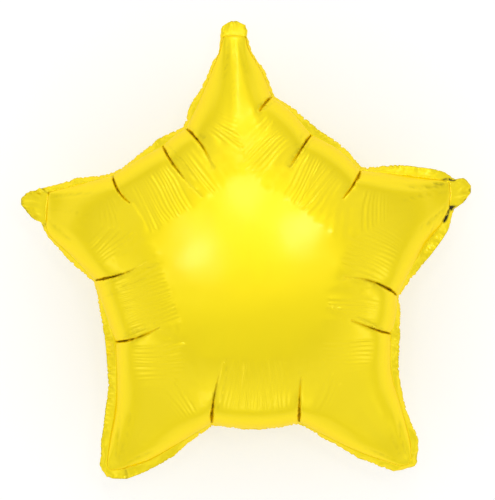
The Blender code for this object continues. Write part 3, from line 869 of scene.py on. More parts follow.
    def _crease(self, lift: np.ndarray) -> None:
        """Presses the creases into the film.

        Args:
            lift: The film's height, which is changed.
        """
        for crease in self.creases:
            off, share, _ = along_line(self.plan, crease.line())
            pressed = crease.depth * np.sqrt(np.clip(4.0 * share * (1.0 - share), 0.0, 1.0))
            lift -= np.minimum(pressed, self.crease_limit * lift) * np.exp(-off / crease.width)
            # Painted shade: the colour is darkened along the crease
            dark = crease.crack * pressed * np.exp(-((off / crease.width) ** 2))
            self.crack = np.maximum(self.crack, dark)

    def _gathered(self, seat_radius: np.ndarray) -> np.ndarray:
        """Works out how strongly the film is gathered, which it isn't along the arms.

        Args:
            seat_radius: Distance from the middle of each point's nearest place on the seal.

        Returns:
            A share from 0 to 1 for each point of the plan.
        """
        eased = self.seal.eased
        rim = len(eased)
        ahead = np.roll(eased, -1, axis=0) - np.roll(eased, 1, axis=0)
        square = np.column_stack([ahead[:, 1], -ahead[:, 0]])
        square /= np.linalg.norm(square, axis=1)[:, None]
        facing = -(square * eased).sum(1) / np.linalg.norm(eased, axis=1)
        _, self.eased_place = foot(self.plan, eased)
        facing = np.interp(self.eased_place, np.arange(rim + 1), np.append(facing, facing[0]))
        square_on = smooth((facing - self.facing_start) / self.facing_fade)
        return self.seal.gathered(seat_radius) * square_on

    def _from_tips(self) -> tuple[np.ndarray, np.ndarray]:
        """Finds the tip that lies nearest to each point of the plan.

        Returns:
            The distance from it, and the angle off its arm's axis in radians.
        """
        tips = UNIT * np.array([s.point for s in self.seal.stations if s.name.startswith("tip")])
        away = self.plan[:, None] - tips
        reach = np.linalg.norm(away, axis=2)
        nearest = reach.argmin(1)
        rows = np.arange(len(self.plan))
        axis = -tips / np.linalg.norm(tips, axis=1)[:, None]
        axis, away = axis[nearest], away[rows, nearest]
        cross = axis[:, 0] * away[:, 1] - axis[:, 1] * away[:, 0]
        angle = np.arctan2(cross, (axis * away).sum(1))
        # A shift of its own for each arm keeps the folds of the five arms from being alike
        return reach[rows, nearest], angle + 10.0 * nearest

    def build(self) -> bpy.types.Object:
        """Makes the skin's mesh.

        Returns:
            The body's object, with what its ribs and its painted fold shade follow as attributes.
        """
        self.lay_out()
        self.raise_film()
        rim = len(self.seal.points)
        count = len(self.plan)
        face = np.column_stack([self.plan, self.lift])
        back = np.column_stack([self.plan, -np.minimum(self.lift, self.rest_height)])[rim:]
        other = np.concatenate([np.arange(rim), np.arange(count - rim) + count])
        rows = np.vstack([self.faces, other[self.faces[:, ::-1]]])
        piece = make_piece("balloon_film", np.vstack([face, back]), rows)
        run = np.interp(self.eased_place, np.arange(rim + 1), self.seal.run)
        tip_away, tip_angle = self._from_tips()
        for name, values in (
            ("seal_run", run), ("seal_depth", self.depth), ("gather", self.gather),
            ("tip_away", tip_away), ("tip_angle", tip_angle), ("crack", self.crack),
        ):
            store(piece, name, np.concatenate([values, values[rim:]]))
        return piece


def star_to_world(points: np.ndarray) -> np.ndarray:
    """Takes points in the star's own millimetres to the model's metres.

    Args:
        points: Rows of x, y and z.

    Returns:
        The same rows in metres, in the frame of the CAD.
    """
    _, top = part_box(NODE)
    middle = frame["record"]["mounts"][0]["pos_m"]
    seal_plane = top[2] - FilledBody.height * MM
    return points * MM + np.array([middle[0], middle[1], seal_plane])


def make_piece(name: str, points: np.ndarray, faces: np.ndarray) -> bpy.types.Object:
    """Makes an object with smooth faces from points in the star's millimetres.

    Args:
        name: The object's name.
        points: Rows of x, y and z.
        faces: Rows of indices.

    Returns:
        The object, linked to the scene.
    """
    mesh = bpy.data.meshes.new(name)
    mesh.from_pydata(star_to_world(points).tolist(), [], faces.tolist())
    mesh.update()
    mesh.shade_smooth()
    piece = bpy.data.objects.new(name, mesh)
    bpy.context.scene.collection.objects.link(piece)
    return piece


def store(piece: bpy.types.Object, name: str, values: np.ndarray) -> None:
    """Stores values on a piece's points.

    Args:
        piece: The piece.
        name: The attribute's name.
        values: A number a point, or a row of three.
    """
    flat = values.ndim == 1
    layer = piece.data.attributes.new(name, "FLOAT" if flat else "FLOAT_VECTOR", "POINT")
    layer.data.foreach_set("value" if flat else "vector", values.ravel())


def add_node(
    tree: bpy.types.NodeTree, kind: str, settings: dict | None = None, *values: object, **more: object
) -> bpy.types.Node:
    """Adds a node to a tree, with its settings and what feeds it.

    Args:
        tree: The tree.
        kind: The node's type name.
        settings: Properties to set on the node.
        values: For its inputs in order: a node, whose first output feeds it, an output, or a
            plain value.
        more: The same for inputs by name, in lower case with "_" for spaces.

    Returns:
        The node.
    """
    node = tree.nodes.new(kind)
    for name, value in (settings or {}).items():
        setattr(node, name, value)
    sockets = [socket for socket in node.inputs if socket.enabled]
    by_name = {socket.name.lower().replace(" ", "_"): socket for socket in reversed(sockets)}
    for socket, value in [*zip(sockets, values), *((by_name[n], v) for n, v in more.items())]:
        if isinstance(value, bpy.types.Node):
            value = next(output for output in value.outputs if output.enabled)
        if isinstance(value, bpy.types.NodeSocket):
            tree.links.new(value, socket)
        else:
            socket.default_value = value
    return node


def new_tree(
    name: str, sizes: dict[str, float]
) -> tuple[bpy.types.NodeTree, dict[str, bpy.types.NodeSocket]]:
    """Makes an empty Geometry Nodes tree with a named input for each size.

    Args:
        name: The tree's name.
        sizes: Each input's name and its usual value.

    Returns:
        The tree, and its inputs by name, with "Geometry" and "Material" among them.
    """
    tree = bpy.data.node_groups.new(name, "GeometryNodeTree")
    face = tree.interface
    face.new_socket("Geometry", in_out="INPUT", socket_type="NodeSocketGeometry")
    for size, value in sizes.items():
        socket = face.new_socket(size, in_out="INPUT", socket_type="NodeSocketFloat")
        socket.default_value = value
    face.new_socket("Material", in_out="INPUT", socket_type="NodeSocketMaterial")
    face.new_socket("Geometry", in_out="OUTPUT", socket_type="NodeSocketGeometry")
    entry = tree.nodes.new("NodeGroupInput")
    return tree, {o.name: o for o in entry.outputs if o.name}


def end_tree(
    tree: bpy.types.NodeTree, shape: bpy.types.Node, material: bpy.types.NodeSocket
) -> None:
    """Ends a tree in Realize Instances and Set Material.

    Args:
        tree: The tree.
        shape: The node that gives the shape.
        material: The input that gives the material.
    """
    real = add_node(tree, "GeometryNodeRealizeInstances", None, shape)
    dressed = add_node(
        tree, "GeometryNodeSetMaterial", None, geometry=real, material=material
    )
    add_node(tree, "NodeGroupOutput", None, dressed)


def settle_tree(
    piece: bpy.types.Object,
    tree: bpy.types.NodeTree,
    sizes: dict[str, float],
    material: bpy.types.Material,
) -> None:
    """Runs a tree on a piece and keeps the result as the piece's own plain mesh.

    Args:
        piece: The piece.
        tree: The Geometry Nodes tree.
        sizes: A value for each of its named inputs.
        material: What the tree dresses the result in.
    """
    modifier = piece.modifiers.new(tree.name, "NODES")
    modifier.node_group = tree
    for item in tree.interface.items_tree:
        if item.item_type == "SOCKET" and item.in_out == "INPUT":
            if item.name in sizes:
                modifier[item.identifier] = sizes[item.name]
            elif item.name == "Material":
                modifier[item.identifier] = material
    graph = bpy.context.evaluated_depsgraph_get()
    made = bpy.data.meshes.new_from_object(piece.evaluated_get(graph), depsgraph=graph)
    piece.modifiers.remove(modifier)
    old = piece.data
    piece.data = made
    bpy.data.meshes.remove(old)
    made.name = piece.name
    made.shade_smooth()


@dataclass
class Gathers:
    """The fine ribs that the drawn seal leaves in the film, square to the seal.

    Attributes:
        pitch: Distance from one rib to the next.
        depth: How deep a rib is.
        start: Distance from the seal at which the ribs begin.
        end: Distance from the seal at which they end.
        rise: How far from its start a rib has its full depth.
        fall: How far before its end a rib starts to fade.
        scallop: How far the ribs' ends wander, so that they end in an uneven comb.
        comb_scale: How quickly they wander from rib to rib.
        stretch: How far a rib runs before it drifts or splits.
        sway: How many ribs it drifts by.
        sway_scale: How quickly the drift changes from rib to rib.
        even: Share of the depth that comes in even waves.
        uneven: Share of the depth that comes in uneven ones.
        uneven_scale: How quickly those change.
        patch_scale: How quickly the ribs' strength changes, across them and along them.
        patch: Where in that change they are weakest and strongest, and how weak they get.
        dent: How deep the wide dents are that the rest of the film has.
        dent_size: How wide such a dent is.
        calm: Distance from the seal within which dents and long folds fade out.
        streak: How deep the long shallow folds are that run from each tip down its arm.
        streak_turn: Angle between two of them at the tip.
        streak_rise: Distances from the tip between which they deepen.
        streak_fade: How far from the tip they begin to fade.
        streak_reach: How far from the tip they end.
        dent_roughness: How broken the dents are.
        fold_roughness: How broken the ribs and the long folds are.
        seed: What sets the chance in all of these.
        layers: How far from the seed the uneven waves and the ribs' strength are read.
    """

    pitch: float = 3.3
    depth: float = 0.85
    start: float = 17.0
    end: float = 70.0
    rise: float = 9.0
    fall: float = 4.0
    scallop: float = 7.0
    comb_scale: float = 0.3
    stretch: float = 46.0
    sway: float = 2.6
    sway_scale: float = 0.22
    even: float = 0.42
    uneven: float = 2.4
    uneven_scale: float = 0.62
    patch_scale: tuple[float, float] = (0.13, 1.4)
    patch: tuple[float, float, float] = (0.38, 0.62, 0.5)
    dent: float = 0.45
    dent_size: float = 30.0
    calm: float = 18.0
    streak: float = 1.7
    streak_turn: float = 0.14
    streak_rise: tuple[float, float] = (6.0, 50.0)
    streak_fade: float = 60.0
    streak_reach: float = 130.0
    dent_roughness: float = 0.35
    fold_roughness: float = 0.4
    seed: float = 4.0
    layers: tuple[float, float] = (7.0, 3.0)

    def press(self, piece: bpy.types.Object, material: bpy.types.Material) -> None:
        """Presses the ribs, dents and long folds into the film.

        Args:
            piece: The film, with the attributes that FilledBody stores.
            material: The film's material.
        """
        sizes = {
            "Pitch": self.pitch, "Depth": self.depth * MM, "Start": self.start, "End": self.end,
            "Rise": self.rise, "Fall": self.fall, "Scallop": self.scallop,
            "Stretch": self.stretch, "Dent": self.dent * MM, "Dent Size": self.dent_size * MM,
            "Streak": self.streak * MM, "Streak Turn": self.streak_turn,
            "Streak Reach": self.streak_reach, "Seed": self.seed,
        }
        tree, entry = new_tree("film_gathers", sizes)
        node = partial(add_node, tree)
        deep, away = node(READ, NUMBER, "seal_depth"), node(READ, NUMBER, "tip_away")
        place = node("GeometryNodeInputPosition")
        edge = node(RANGE, SOFT, deep, 0.0, self.calm)
        size = node(MATH, OVER, 1.0, entry["Dent Size"])
        wide = node(
            NOISE, None, node(VECTOR_MATH, SCALE, place, size), scale=1.0, detail=1.0,
            roughness=self.dent_roughness,
        )
        turn = node(MATH, OVER, node(READ, NUMBER, "tip_angle"), entry["Streak Turn"])
        out = node(MATH, OVER, away, entry["Streak Reach"])
        fan = node(
            NOISE, None, node(COMBINE, None, turn, out, entry["Seed"]), scale=1.0, detail=1.0,
            roughness=self.fold_roughness,
        )
        rising = node(RANGE, SOFT, away, *self.streak_rise)
        ending = node(RANGE, SOFT, away, entry["Streak Reach"], self.streak_fade)
        rib, shares = self._ribs(tree, entry, deep)
        height = 0.0
        for relief, parts in (
            (rib, (*shares, entry["Depth"])),
            (node(MATH, MINUS, wide, 0.5), (edge, entry["Dent"])),
            (node(MATH, MINUS, fan, 0.5), (edge, rising, ending, entry["Streak"])),
        ):
            for part in parts:
                relief = node(MATH, TIMES, relief, part)
            height = node(MATH, PLUS, relief, height)
        shift = node(VECTOR_MATH, SCALE, node("GeometryNodeInputNormal"), height)
        pressed = node(SPLIT, None, node(VECTOR_MATH, PLUS, place, shift))
        # Nothing is pressed through the floor, which is the plane z = 0
        level = node(MATH, MOST, pressed.outputs["Z"], 0.0)
        rested = node(COMBINE, None, pressed.outputs["X"], pressed.outputs["Y"], level)
        moved = node("GeometryNodeSetPosition", None, entry["Geometry"], position=rested)
        end_tree(tree, moved, entry["Material"])
        settle_tree(piece, tree, sizes, material)

    def _ribs(
        self,
        tree: bpy.types.NodeTree,
        entry: dict[str, bpy.types.NodeSocket],
        deep: bpy.types.Node,
    ) -> tuple[bpy.types.Node, tuple[bpy.types.Node, ...]]:
        """Adds the nodes of the ribs alone.

        Args:
            tree: The tree.
            entry: Its inputs by name.
            deep: The node that gives the distance from the seal.

        Returns:
            The node that gives the waves, and those that give the shares of them that show.
        """
        node = partial(add_node, tree)
        across = node(MATH, OVER, node(READ, NUMBER, "seal_run"), entry["Pitch"])
        along = node(MATH, OVER, deep, entry["Stretch"])
        slow = node(MATH, TIMES, across, self.sway_scale)
        drift = node(
            NOISE, None, node(COMBINE, None, slow, along, entry["Seed"]), scale=1.0, detail=0.0
        )
        swayed = node(MATH, BLEND, drift, self.sway, across)
        below, beyond = (node(MATH, PLUS, entry["Seed"], layer) for layer in self.layers)
        uneven = node(
            NOISE, None, node(COMBINE, None, swayed, along, below), scale=self.uneven_scale,
            detail=1.0, roughness=self.fold_roughness,
        )
        wave = node(MATH, {"operation": "SINE"}, node(MATH, TIMES, swayed, math.tau))
        rib = node(
            MATH, PLUS, node(MATH, TIMES, wave, self.even),
            node(MATH, TIMES, node(MATH, MINUS, uneven, 0.5), self.uneven),
        )
        spot = [node(MATH, TIMES, way, scale) for way, scale in zip((across, along), self.patch_scale)]
        patch = node(NOISE, None, node(COMBINE, None, *spot, beyond), scale=1.0, detail=1.0)
        strength = node(RANGE, SOFT, patch, *self.patch, 1.0)
        opened = node(MATH, PLUS, entry["Start"], entry["Rise"])
        opening = node(RANGE, SOFT, deep, entry["Start"], opened)
        comb = node(
            NOISE, {"noise_dimensions": "1D"}, node(MATH, PLUS, across, entry["Seed"]),
            scale=self.comb_scale, detail=2.0,
        )
        # A noise lies between 0 and 1, so twice its way from the middle is the whole wander
        wander = node(
            MATH, TIMES, node(MATH, MINUS, comb, 0.5), node(MATH, TIMES, entry["Scallop"], 2.0)
        )
        last = node(MATH, PLUS, entry["End"], wander)
        closing = node(RANGE, SOFT, deep, last, node(MATH, MINUS, last, entry["Fall"]))
        return rib, (opening, closing, node(READ, NUMBER, "gather"), strength)


@dataclass
class SealFin:
    """The two films outside the seal, pressed together.

    Attributes:
        seal: The seal that it runs along.
        width: Its width where it lies flat.
        thickness: Both films, thicker than real so that the edge shows.
        bead: How many times thicker the seal itself is, where the films part round a bead of melt.
        bead_width: How wide that is, as a share of the fin.
        shares: Places of its rows, from 0 at the seal to 1 at the edge.
        fold_power: How late it turns down where it is folded back.
        ruffle: How high its wide waves stand at the edge.
        ruffle_pitch: Distance from one to the next.
        crinkle: How high its sharp creases stand at the edge.
        crinkle_pitch: Distance from one to the next.
        fray: How far the cut edge wanders in and out.
        flap: How many times higher the wide flaps at the tips are crumpled.
        flap_drop: How far they hang down, as a share of their width.
        flap_fade: How much wider than the narrow fin a flap is where it is fully a flap.
        folds: The folds where a flap meets the narrow fin, pressed down and darkened with painted
            shade.
        slants: How far the waves and the creases lean along the fin.
        layers: How far from the seed the waves and the creases are read.
        crease_floor: How deep a crease lies where the film between creases is level.
        crease_gain: How many times deeper the creases are than the noise that makes them.
        rise: Places on the fin, as shares, between which the waves grow.
        seed: What sets the chance in the waves and creases.
    """

    seal: SealPath
    width: float = 9.5
    thickness: float = 0.5
    bead: float = 2.0
    bead_width: float = 0.12
    shares: tuple[float, ...] = (-0.08, 0.03, 0.13, 0.26, 0.42, 0.58, 0.74, 0.88, 1.0)
    fold_power: float = 1.6
    ruffle: float = 2.0
    ruffle_pitch: float = 17.0
    crinkle: float = 1.7
    crinkle_pitch: float = 4.2
    fray: float = 0.4
    flap: float = 2.6
    flap_drop: float = 0.45
    flap_fade: float = 7.0
    folds: tuple[Crease, ...] = FIN_FOLDS
    slants: tuple[float, float] = (0.35, 0.9)
    layers: tuple[float, float] = (0.0, 5.0)
    crease_floor: float = 0.08
    crease_gain: float = -5.0
    rise: tuple[float, float] = (0.05, 0.9)
    seed: float = 11.0

    def build(self) -> bpy.types.Object:
        """Makes the fin's closed strip.

        Returns:
            The fin's object, with what its ruffles follow as attributes.
        """
        points, out = self.seal.points, self.seal.out
        wide = np.linalg.norm(out, axis=1)
        drop = -np.sqrt(np.maximum(self.width**2 - wide**2, 0.0))
        count = len(points)
        flap = smooth((wide - self.width) / self.flap_fade)
        drop -= self.flap_drop * wide * flap
        rows = []
        for share in self.shares:
            fall = max(share, 0.0) ** self.fold_power
            rows.append(np.column_stack([points + out * share, drop * fall]))
        # Each fold presses the fin down and darkens its colour with painted shade
        painted_shades = [np.zeros(count) for _ in rows]
        for row, crack in zip(rows, painted_shades):
            for fold in self.folds:
                off, *_ = along_line(row[:, :2], fold.line())
                pressed = np.exp(-((off / fold.width) ** 2))
                row[:, 2] -= fold.depth * pressed
                np.maximum(crack, fold.crack * pressed, out=crack)
        along = np.roll(rows[0], -1, axis=0) - np.roll(rows[0], 1, axis=0)
        squares = []
        for i in range(len(rows)):
            before, after = rows[max(i - 1, 0)], rows[min(i + 1, len(rows) - 1)]
            square = np.cross(along, after - before)
            squares.append(square / np.maximum(np.linalg.norm(square, axis=1), 1e-9)[:, None])
        halves = [
            self.thickness / 2 * (1.0 + self.bead * math.exp(-((share / self.bead_width) ** 2)))
            for share in self.shares
        ]
        ring = [row + square * half for row, square, half in zip(rows, squares, halves)]
        ring += [row - square * half for row, square, half in zip(rows, squares, halves)][::-1]
        index = np.arange(count)
        after = (index + 1) % count
        faces = []
        for i in range(len(ring)):
            j = (i + 1) % len(ring)
            corners = (i * count + index, j * count + index, j * count + after, i * count + after)
            faces.append(np.column_stack(corners))
        piece = make_piece("seal_fin", np.vstack(ring), np.vstack(faces))
        order = list(range(len(rows))) + list(range(len(rows)))[::-1]
        way = np.column_stack([out, drop]) / self.width
        for name, values in (
            ("fin_run", np.tile(self.seal.run[:-1], len(ring))),
            ("fin_share", np.repeat([self.shares[i] for i in order], count)),
            ("fin_flap", np.tile(flap, len(ring))),
            ("crack", np.concatenate([painted_shades[i] for i in order])),
            ("fin_up", np.vstack([squares[i] for i in order])),
            ("fin_out", np.tile(way, (len(ring), 1))),
        ):
            store(piece, name, values)
        return piece

    def ruffle_edge(self, piece: bpy.types.Object, material: bpy.types.Material) -> None:
        """Waves and crinkles the fin, more towards its edge.

        Args:
            piece: The fin.
            material: The film's material.
        """
        sizes = {
            "Ruffle": self.ruffle * MM, "Ruffle Pitch": self.ruffle_pitch,
            "Crinkle": self.crinkle * MM, "Crinkle Pitch": self.crinkle_pitch,
            "Fray": self.fray * MM, "Flap": self.flap, "Seed": self.seed,
        }
        tree, entry = new_tree("fin_ruffles", sizes)
        node = partial(add_node, tree)
        run, share = node(READ, NUMBER, "fin_run"), node(READ, NUMBER, "fin_share")
        waves = []
        pitches = entry["Ruffle Pitch"], entry["Crinkle Pitch"]
        for pitch, slant, layer in zip(pitches, self.slants, self.layers):
            place = node(
                COMBINE, None, node(MATH, OVER, run, pitch), node(MATH, TIMES, share, slant),
                node(MATH, PLUS, entry["Seed"], layer),
            )
            noise = node(NOISE, None, place, scale=1.0, detail=1.0, roughness=0.5)
            waves.append(node(MATH, MINUS, noise, 0.5))
        folded = node(MATH, {"operation": "ABSOLUTE"}, waves[1])
        sharp = node(MATH, MINUS, folded, self.crease_floor)
        more = node(MATH, MINUS, entry["Flap"], 1.0)
        crumpled = node(MATH, BLEND, node(READ, NUMBER, "fin_flap"), more, 1.0)
        rising = node(RANGE, SOFT, share, *self.rise)
        ruffle = node(MATH, TIMES, waves[0], node(MATH, TIMES, entry["Ruffle"], 2.0))
        gain = node(MATH, TIMES, entry["Crinkle"], self.crease_gain)
        height = node(
            MATH, TIMES, node(MATH, TIMES, rising, crumpled),
            node(MATH, PLUS, ruffle, node(MATH, TIMES, sharp, gain)),
        )
        edge = node(
            MATH, TIMES, node(MATH, TIMES, waves[1], node(MATH, TIMES, entry["Fray"], 2.0)),
            node(MATH, TIMES, share, share),
        )
        lifted = node(VECTOR_MATH, SCALE, node(READ, VECTOR, "fin_up"), height)
        moved = node(VECTOR_MATH, SCALE, node(READ, VECTOR, "fin_out"), edge)
        shaped = node(
            "GeometryNodeSetPosition", None, entry["Geometry"],
            offset=node(VECTOR_MATH, PLUS, lifted, moved),
        )
        end_tree(tree, shaped, entry["Material"])
        settle_tree(piece, tree, sizes, material)


@dataclass
class FillingTail:
    """The flat neck that the balloon is filled through, folded down on its back.

    Attributes:
        seal: The seal that it comes out of.
        middle: Where it lies across the star.
        width: Its width.
        length: How far it reaches past the seal.
        start: How far past the seal it comes out from under the fin.
        gap: From the film that it lies on to its own middle.
        thickness: Both of its films, thicker than real so that the edge shows.
        seam: Width of the heat-sealed margin along its two sides.
        mouth: How far its films part at the end.
        mouth_reach: How far before the end they begin to part.
        swell: How far they stand apart elsewhere.
        swell_fade: How far inside the margin they stand fully apart.
        ripple: How high the waves in it are.
        ripple_turns: How quickly they turn, across it and along it.
        ripple_fade: How far inside its sides they are full.
        lift: How much further it stands off past the seal.
        lift_start: How far past the seal it begins to.
        lift_reach: How far it takes to.
        slope_reach: How far ahead and behind its slope is taken.
        march: Spacing of the points that are looked up on the film.
        step: Spacing of its rows.
        across: Number of points across it.
    """

    seal: SealPath
    middle: float = 9.0
    width: float = 26.0
    length: float = 62.0
    start: float = 7.5
    gap: float = 1.9
    thickness: float = 0.7
    seam: float = 3.5
    mouth: float = 1.2
    mouth_reach: float = 14.0
    swell: float = 0.5
    swell_fade: float = 3.0
    ripple: float = 0.35
    ripple_turns: tuple[float, float] = (9.0, 0.11)
    ripple_fade: float = 4.0
    lift: float = 0.4
    lift_start: float = 6.0
    lift_reach: float = 10.0
    slope_reach: float = 3.0
    march: float = 0.5
    step: float = 1.6
    across: int = 27

    def build(self, body: FilledBody) -> bpy.types.Object:
        """Makes the tail as a closed flat tube.

        Args:
            body: The filled body that it lies on.

        Returns:
            The tail's object.
        """
        under = np.column_stack([body.plan, -np.minimum(body.lift, body.rest_height)])
        tree = BVHTree.FromPolygons([Vector(p) for p in under], body.faces.tolist())
        edge = self.seal.points[np.abs(self.seal.points[:, 0] - self.middle).argmin(), 1]
        profile = [(edge, 0.0)]
        for inwards in np.arange(self.march, self.length, self.march):
            start = Vector((self.middle, edge + inwards, -2.0 * body.height))
            hit, *_ = tree.ray_cast(start, Vector((0.0, 0.0, 1.0)))
            profile.append((hit.y, hit.z))
        profile = np.array(profile)
        steps = np.linalg.norm(np.diff(profile, axis=0), axis=1)
        run = np.concatenate([[0.0], np.cumsum(steps)])
        spots = np.arange(self.start, self.length, self.step)
        side = np.linspace(-1.0, 1.0, self.across)
        from_edge = (1.0 - np.abs(side)) * self.width / 2
        parted = smooth((from_edge - self.seam) / self.swell_fade)
        turns = self.ripple_turns
        tops, unders = [], []
        for at in spots:
            here, ahead, behind = (
                np.array([np.interp(at + shift, run, profile[:, i]) for i in (0, 1)])
                for shift in (0.0, self.slope_reach, -self.slope_reach)
            )
            along = (ahead - behind) / np.linalg.norm(ahead - behind)
            away = np.array([along[1], -along[0]])
            open_end = smooth((at - self.length + self.mouth_reach) / self.mouth_reach)
            swell = parted * (self.swell + self.mouth * open_end)
            wave = np.sin(side * turns[0] + at * turns[1]) * smooth(from_edge / self.ripple_fade)
            risen = self.lift * smooth((at - self.lift_start) / self.lift_reach)
            clear = self.gap + risen + self.ripple * wave
            for rows, sign in ((tops, 1.0), (unders, -1.0)):
                off = clear + sign * (self.thickness / 2 + swell / 2)
                spot = here + away * off[:, None]
                rows.append(np.column_stack([self.middle + side * self.width / 2, spot]))
        count = self.across
        grid = np.vstack([np.vstack(tops), np.vstack(unders)])
        total = len(spots)
        lower = total * count
        faces = []
        for i in range(total - 1):
            a = i * count + np.arange(count - 1)
            faces.append(np.column_stack([a, a + 1, a + count + 1, a + count]))
            b = lower + a
            faces.append(np.column_stack([b + count, b + count + 1, b + 1, b]))
            left, right = i * count, (i + 1) * count - 1
            faces.append(np.array([[left, left + count, lower + left + count, lower + left]]))
            faces.append(np.array([[right + count, right, lower + right, lower + right + count]]))
        for first in (0, (total - 1) * count):
            a = first + np.arange(count - 1)
            rim = np.column_stack([a + 1, a, lower + a, lower + a + 1])
            faces.append(rim if first == 0 else rim[:, ::-1])
        return make_piece("filling_tail", grid, np.vstack(faces))


@dataclass(frozen=True)
class FilmFinish:
    """Polyester film with aluminium vapour on it under a clear yellow lacquer.

    Attributes:
        yellow: What the metal reflects through the lacquer.
        edge: The same at a glancing angle, where the lacquer's own gloss pales it.
        roughness: How far the metal spreads a reflection.
        sheen: How much of the lacquer's own white gloss shows.
        sheen_index: The index that sets how strongly that gloss reflects face on. It is higher than
            a lacquer's usual 1.5, so that the gloss whitens the lamps' reflections on the crown
            without a pale band along the seal.
        sheen_roughness: How far it spreads a reflection.
        crack: The colour of the lines where a sharp fold has cracked the metal.
        crack_share: The least and the most of that colour that shows.
        crack_size: Length of the unbroken stretches of such a line in millimetres.
        crack_edges: Where in the noise that breaks the line it begins and is full.
        rolling: How much smoother or rougher the streaks are that the rolling left.
        rolling_size: Length and width of such a streak in millimetres.
    """

    yellow: str = "#FFE706"
    edge: str = "#FFEE68"
    roughness: float = 0.43
    sheen: float = 0.12
    sheen_index: float = 2.4
    sheen_roughness: float = 0.18
    # crack: The colour of the painted shade along sharp folds.
    crack: str = "#2E2800"
    crack_share: tuple[float, float] = (0.1, 0.9)
    crack_size: float = 7.0
    crack_edges: tuple[float, float] = (0.4, 0.6)
    rolling: float = 0.05
    rolling_size: tuple[float, float] = (60.0, 3.0)


def linear(code: str) -> tuple[float, float, float, float]:
    """Turns an sRGB hex code into a linear colour.

    Args:
        code: The colour as "#RRGGBB".

    Returns:
        Red, green, blue and 1.
    """
    parts = [int(code[i : i + 2], 16) / 255 for i in (1, 3, 5)]
    red, green, blue = (
        p / 12.92 if p <= 0.04045 else ((p + 0.055) / 1.055) ** 2.4 for p in parts
    )
    return red, green, blue, 1.0


def film_material(finish: FilmFinish) -> bpy.types.Material:
    """Makes metallised polyester film, lacquered yellow.

    The film is about 0.05 mm thick, with aluminium vapour laid on in vacuum and a clear yellow
    lacquer over it. The eye sees a soft yellow mirror with a paler gloss on its brightest spots,
    and faint streaks a few millimetres wide from the rolling of the film. Along sharp folds the
    colour is darkened in a thin broken line of painted shade, as dark as the bare film's shadow.

    Args:
        finish: The film's colour and gloss.

    Returns:
        The material.
    """
    material = bpy.data.materials.new("metallised_polyester_film")
    material.use_nodes = True
    tree = material.node_tree
    node = partial(add_node, tree)
    shader = tree.nodes["Principled BSDF"]
    place = node(PLACE).outputs["Object"]
    # Painted shade in the folds: the stored attribute darkens the base colour there, broken up by a
    # noise
    broken = node(NOISE, None, place, scale=1.0 / (finish.crack_size * MM), detail=2.0)
    kept = node(RANGE, SOFT, broken, *finish.crack_edges, *finish.crack_share)
    crack = node("ShaderNodeAttribute", {"attribute_name": "crack"})
    dark = node(MATH, {"operation": "MULTIPLY", "use_clamp": True}, crack.outputs["Fac"], kept)
    colours = linear(finish.yellow), linear(finish.crack)
    shade = node("ShaderNodeMix", {"data_type": "RGBA"}, dark, *colours)
    length, width = (1.0 / (size * MM) for size in finish.rolling_size)
    rolled = node(VECTOR_MATH, TIMES, place, (width, length, width))
    streaks = node(NOISE, None, rolled, scale=1.0, detail=3.0)
    uneven = node(MATH, TIMES, node(MATH, MINUS, streaks, 0.5), 2.0 * finish.rolling)
    rough = node(MATH, PLUS, uneven, finish.roughness)
    colour = next(output for output in shade.outputs if output.enabled)
    tree.links.new(colour, shader.inputs["Base Color"])
    tree.links.new(rough.outputs[0], shader.inputs["Roughness"])
    for name, value in (
        ("Metallic", 1.0), ("Specular Tint", linear(finish.edge)), ("Coat Weight", finish.sheen),
        ("Coat IOR", finish.sheen_index), ("Coat Roughness", finish.sheen_roughness),
    ):
        shader.inputs[name].default_value = value
    return material


@dataclass(frozen=True)
class Softbox:
    """A lamp with a cloth front, aimed at the balloon's middle.

    Attributes:
        name: The lamp's name.
        bearing: Where it stands, in degrees clockwise from the top tip.
        tilt: How far it stands from straight over the balloon, in degrees.
        distance: How far away it is.
        width: Its width.
        height: Its height, towards or away from straight over the balloon.
        glow: Its brightness, where 1 is a white sheet in full light.
    """

    name: str
    bearing: float
    tilt: float
    distance: float
    width: float
    height: float
    glow: float

    def build(self, target: Vector) -> None:
        """Makes the lamp.

        Args:
            target: What it is aimed at.
        """
        lamp = bpy.data.lights.new(self.name, "AREA")
        lamp.shape = "ELLIPSE"
        lamp.size, lamp.size_y = self.width, self.height
        lamp.energy = self.glow * math.pi * math.pi / 4 * self.width * self.height
        piece = bpy.data.objects.new(self.name, lamp)
        bearing, tilt = math.radians(self.bearing), math.radians(self.tilt)
        way = Vector(
            (math.sin(tilt) * math.sin(bearing), math.sin(tilt) * math.cos(bearing), math.cos(tilt))
        )
        piece.location = target + way * self.distance
        piece.rotation_euler = way.to_track_quat("Z", "Y").to_euler()
        piece.visible_camera = False
        bpy.context.scene.collection.objects.link(piece)


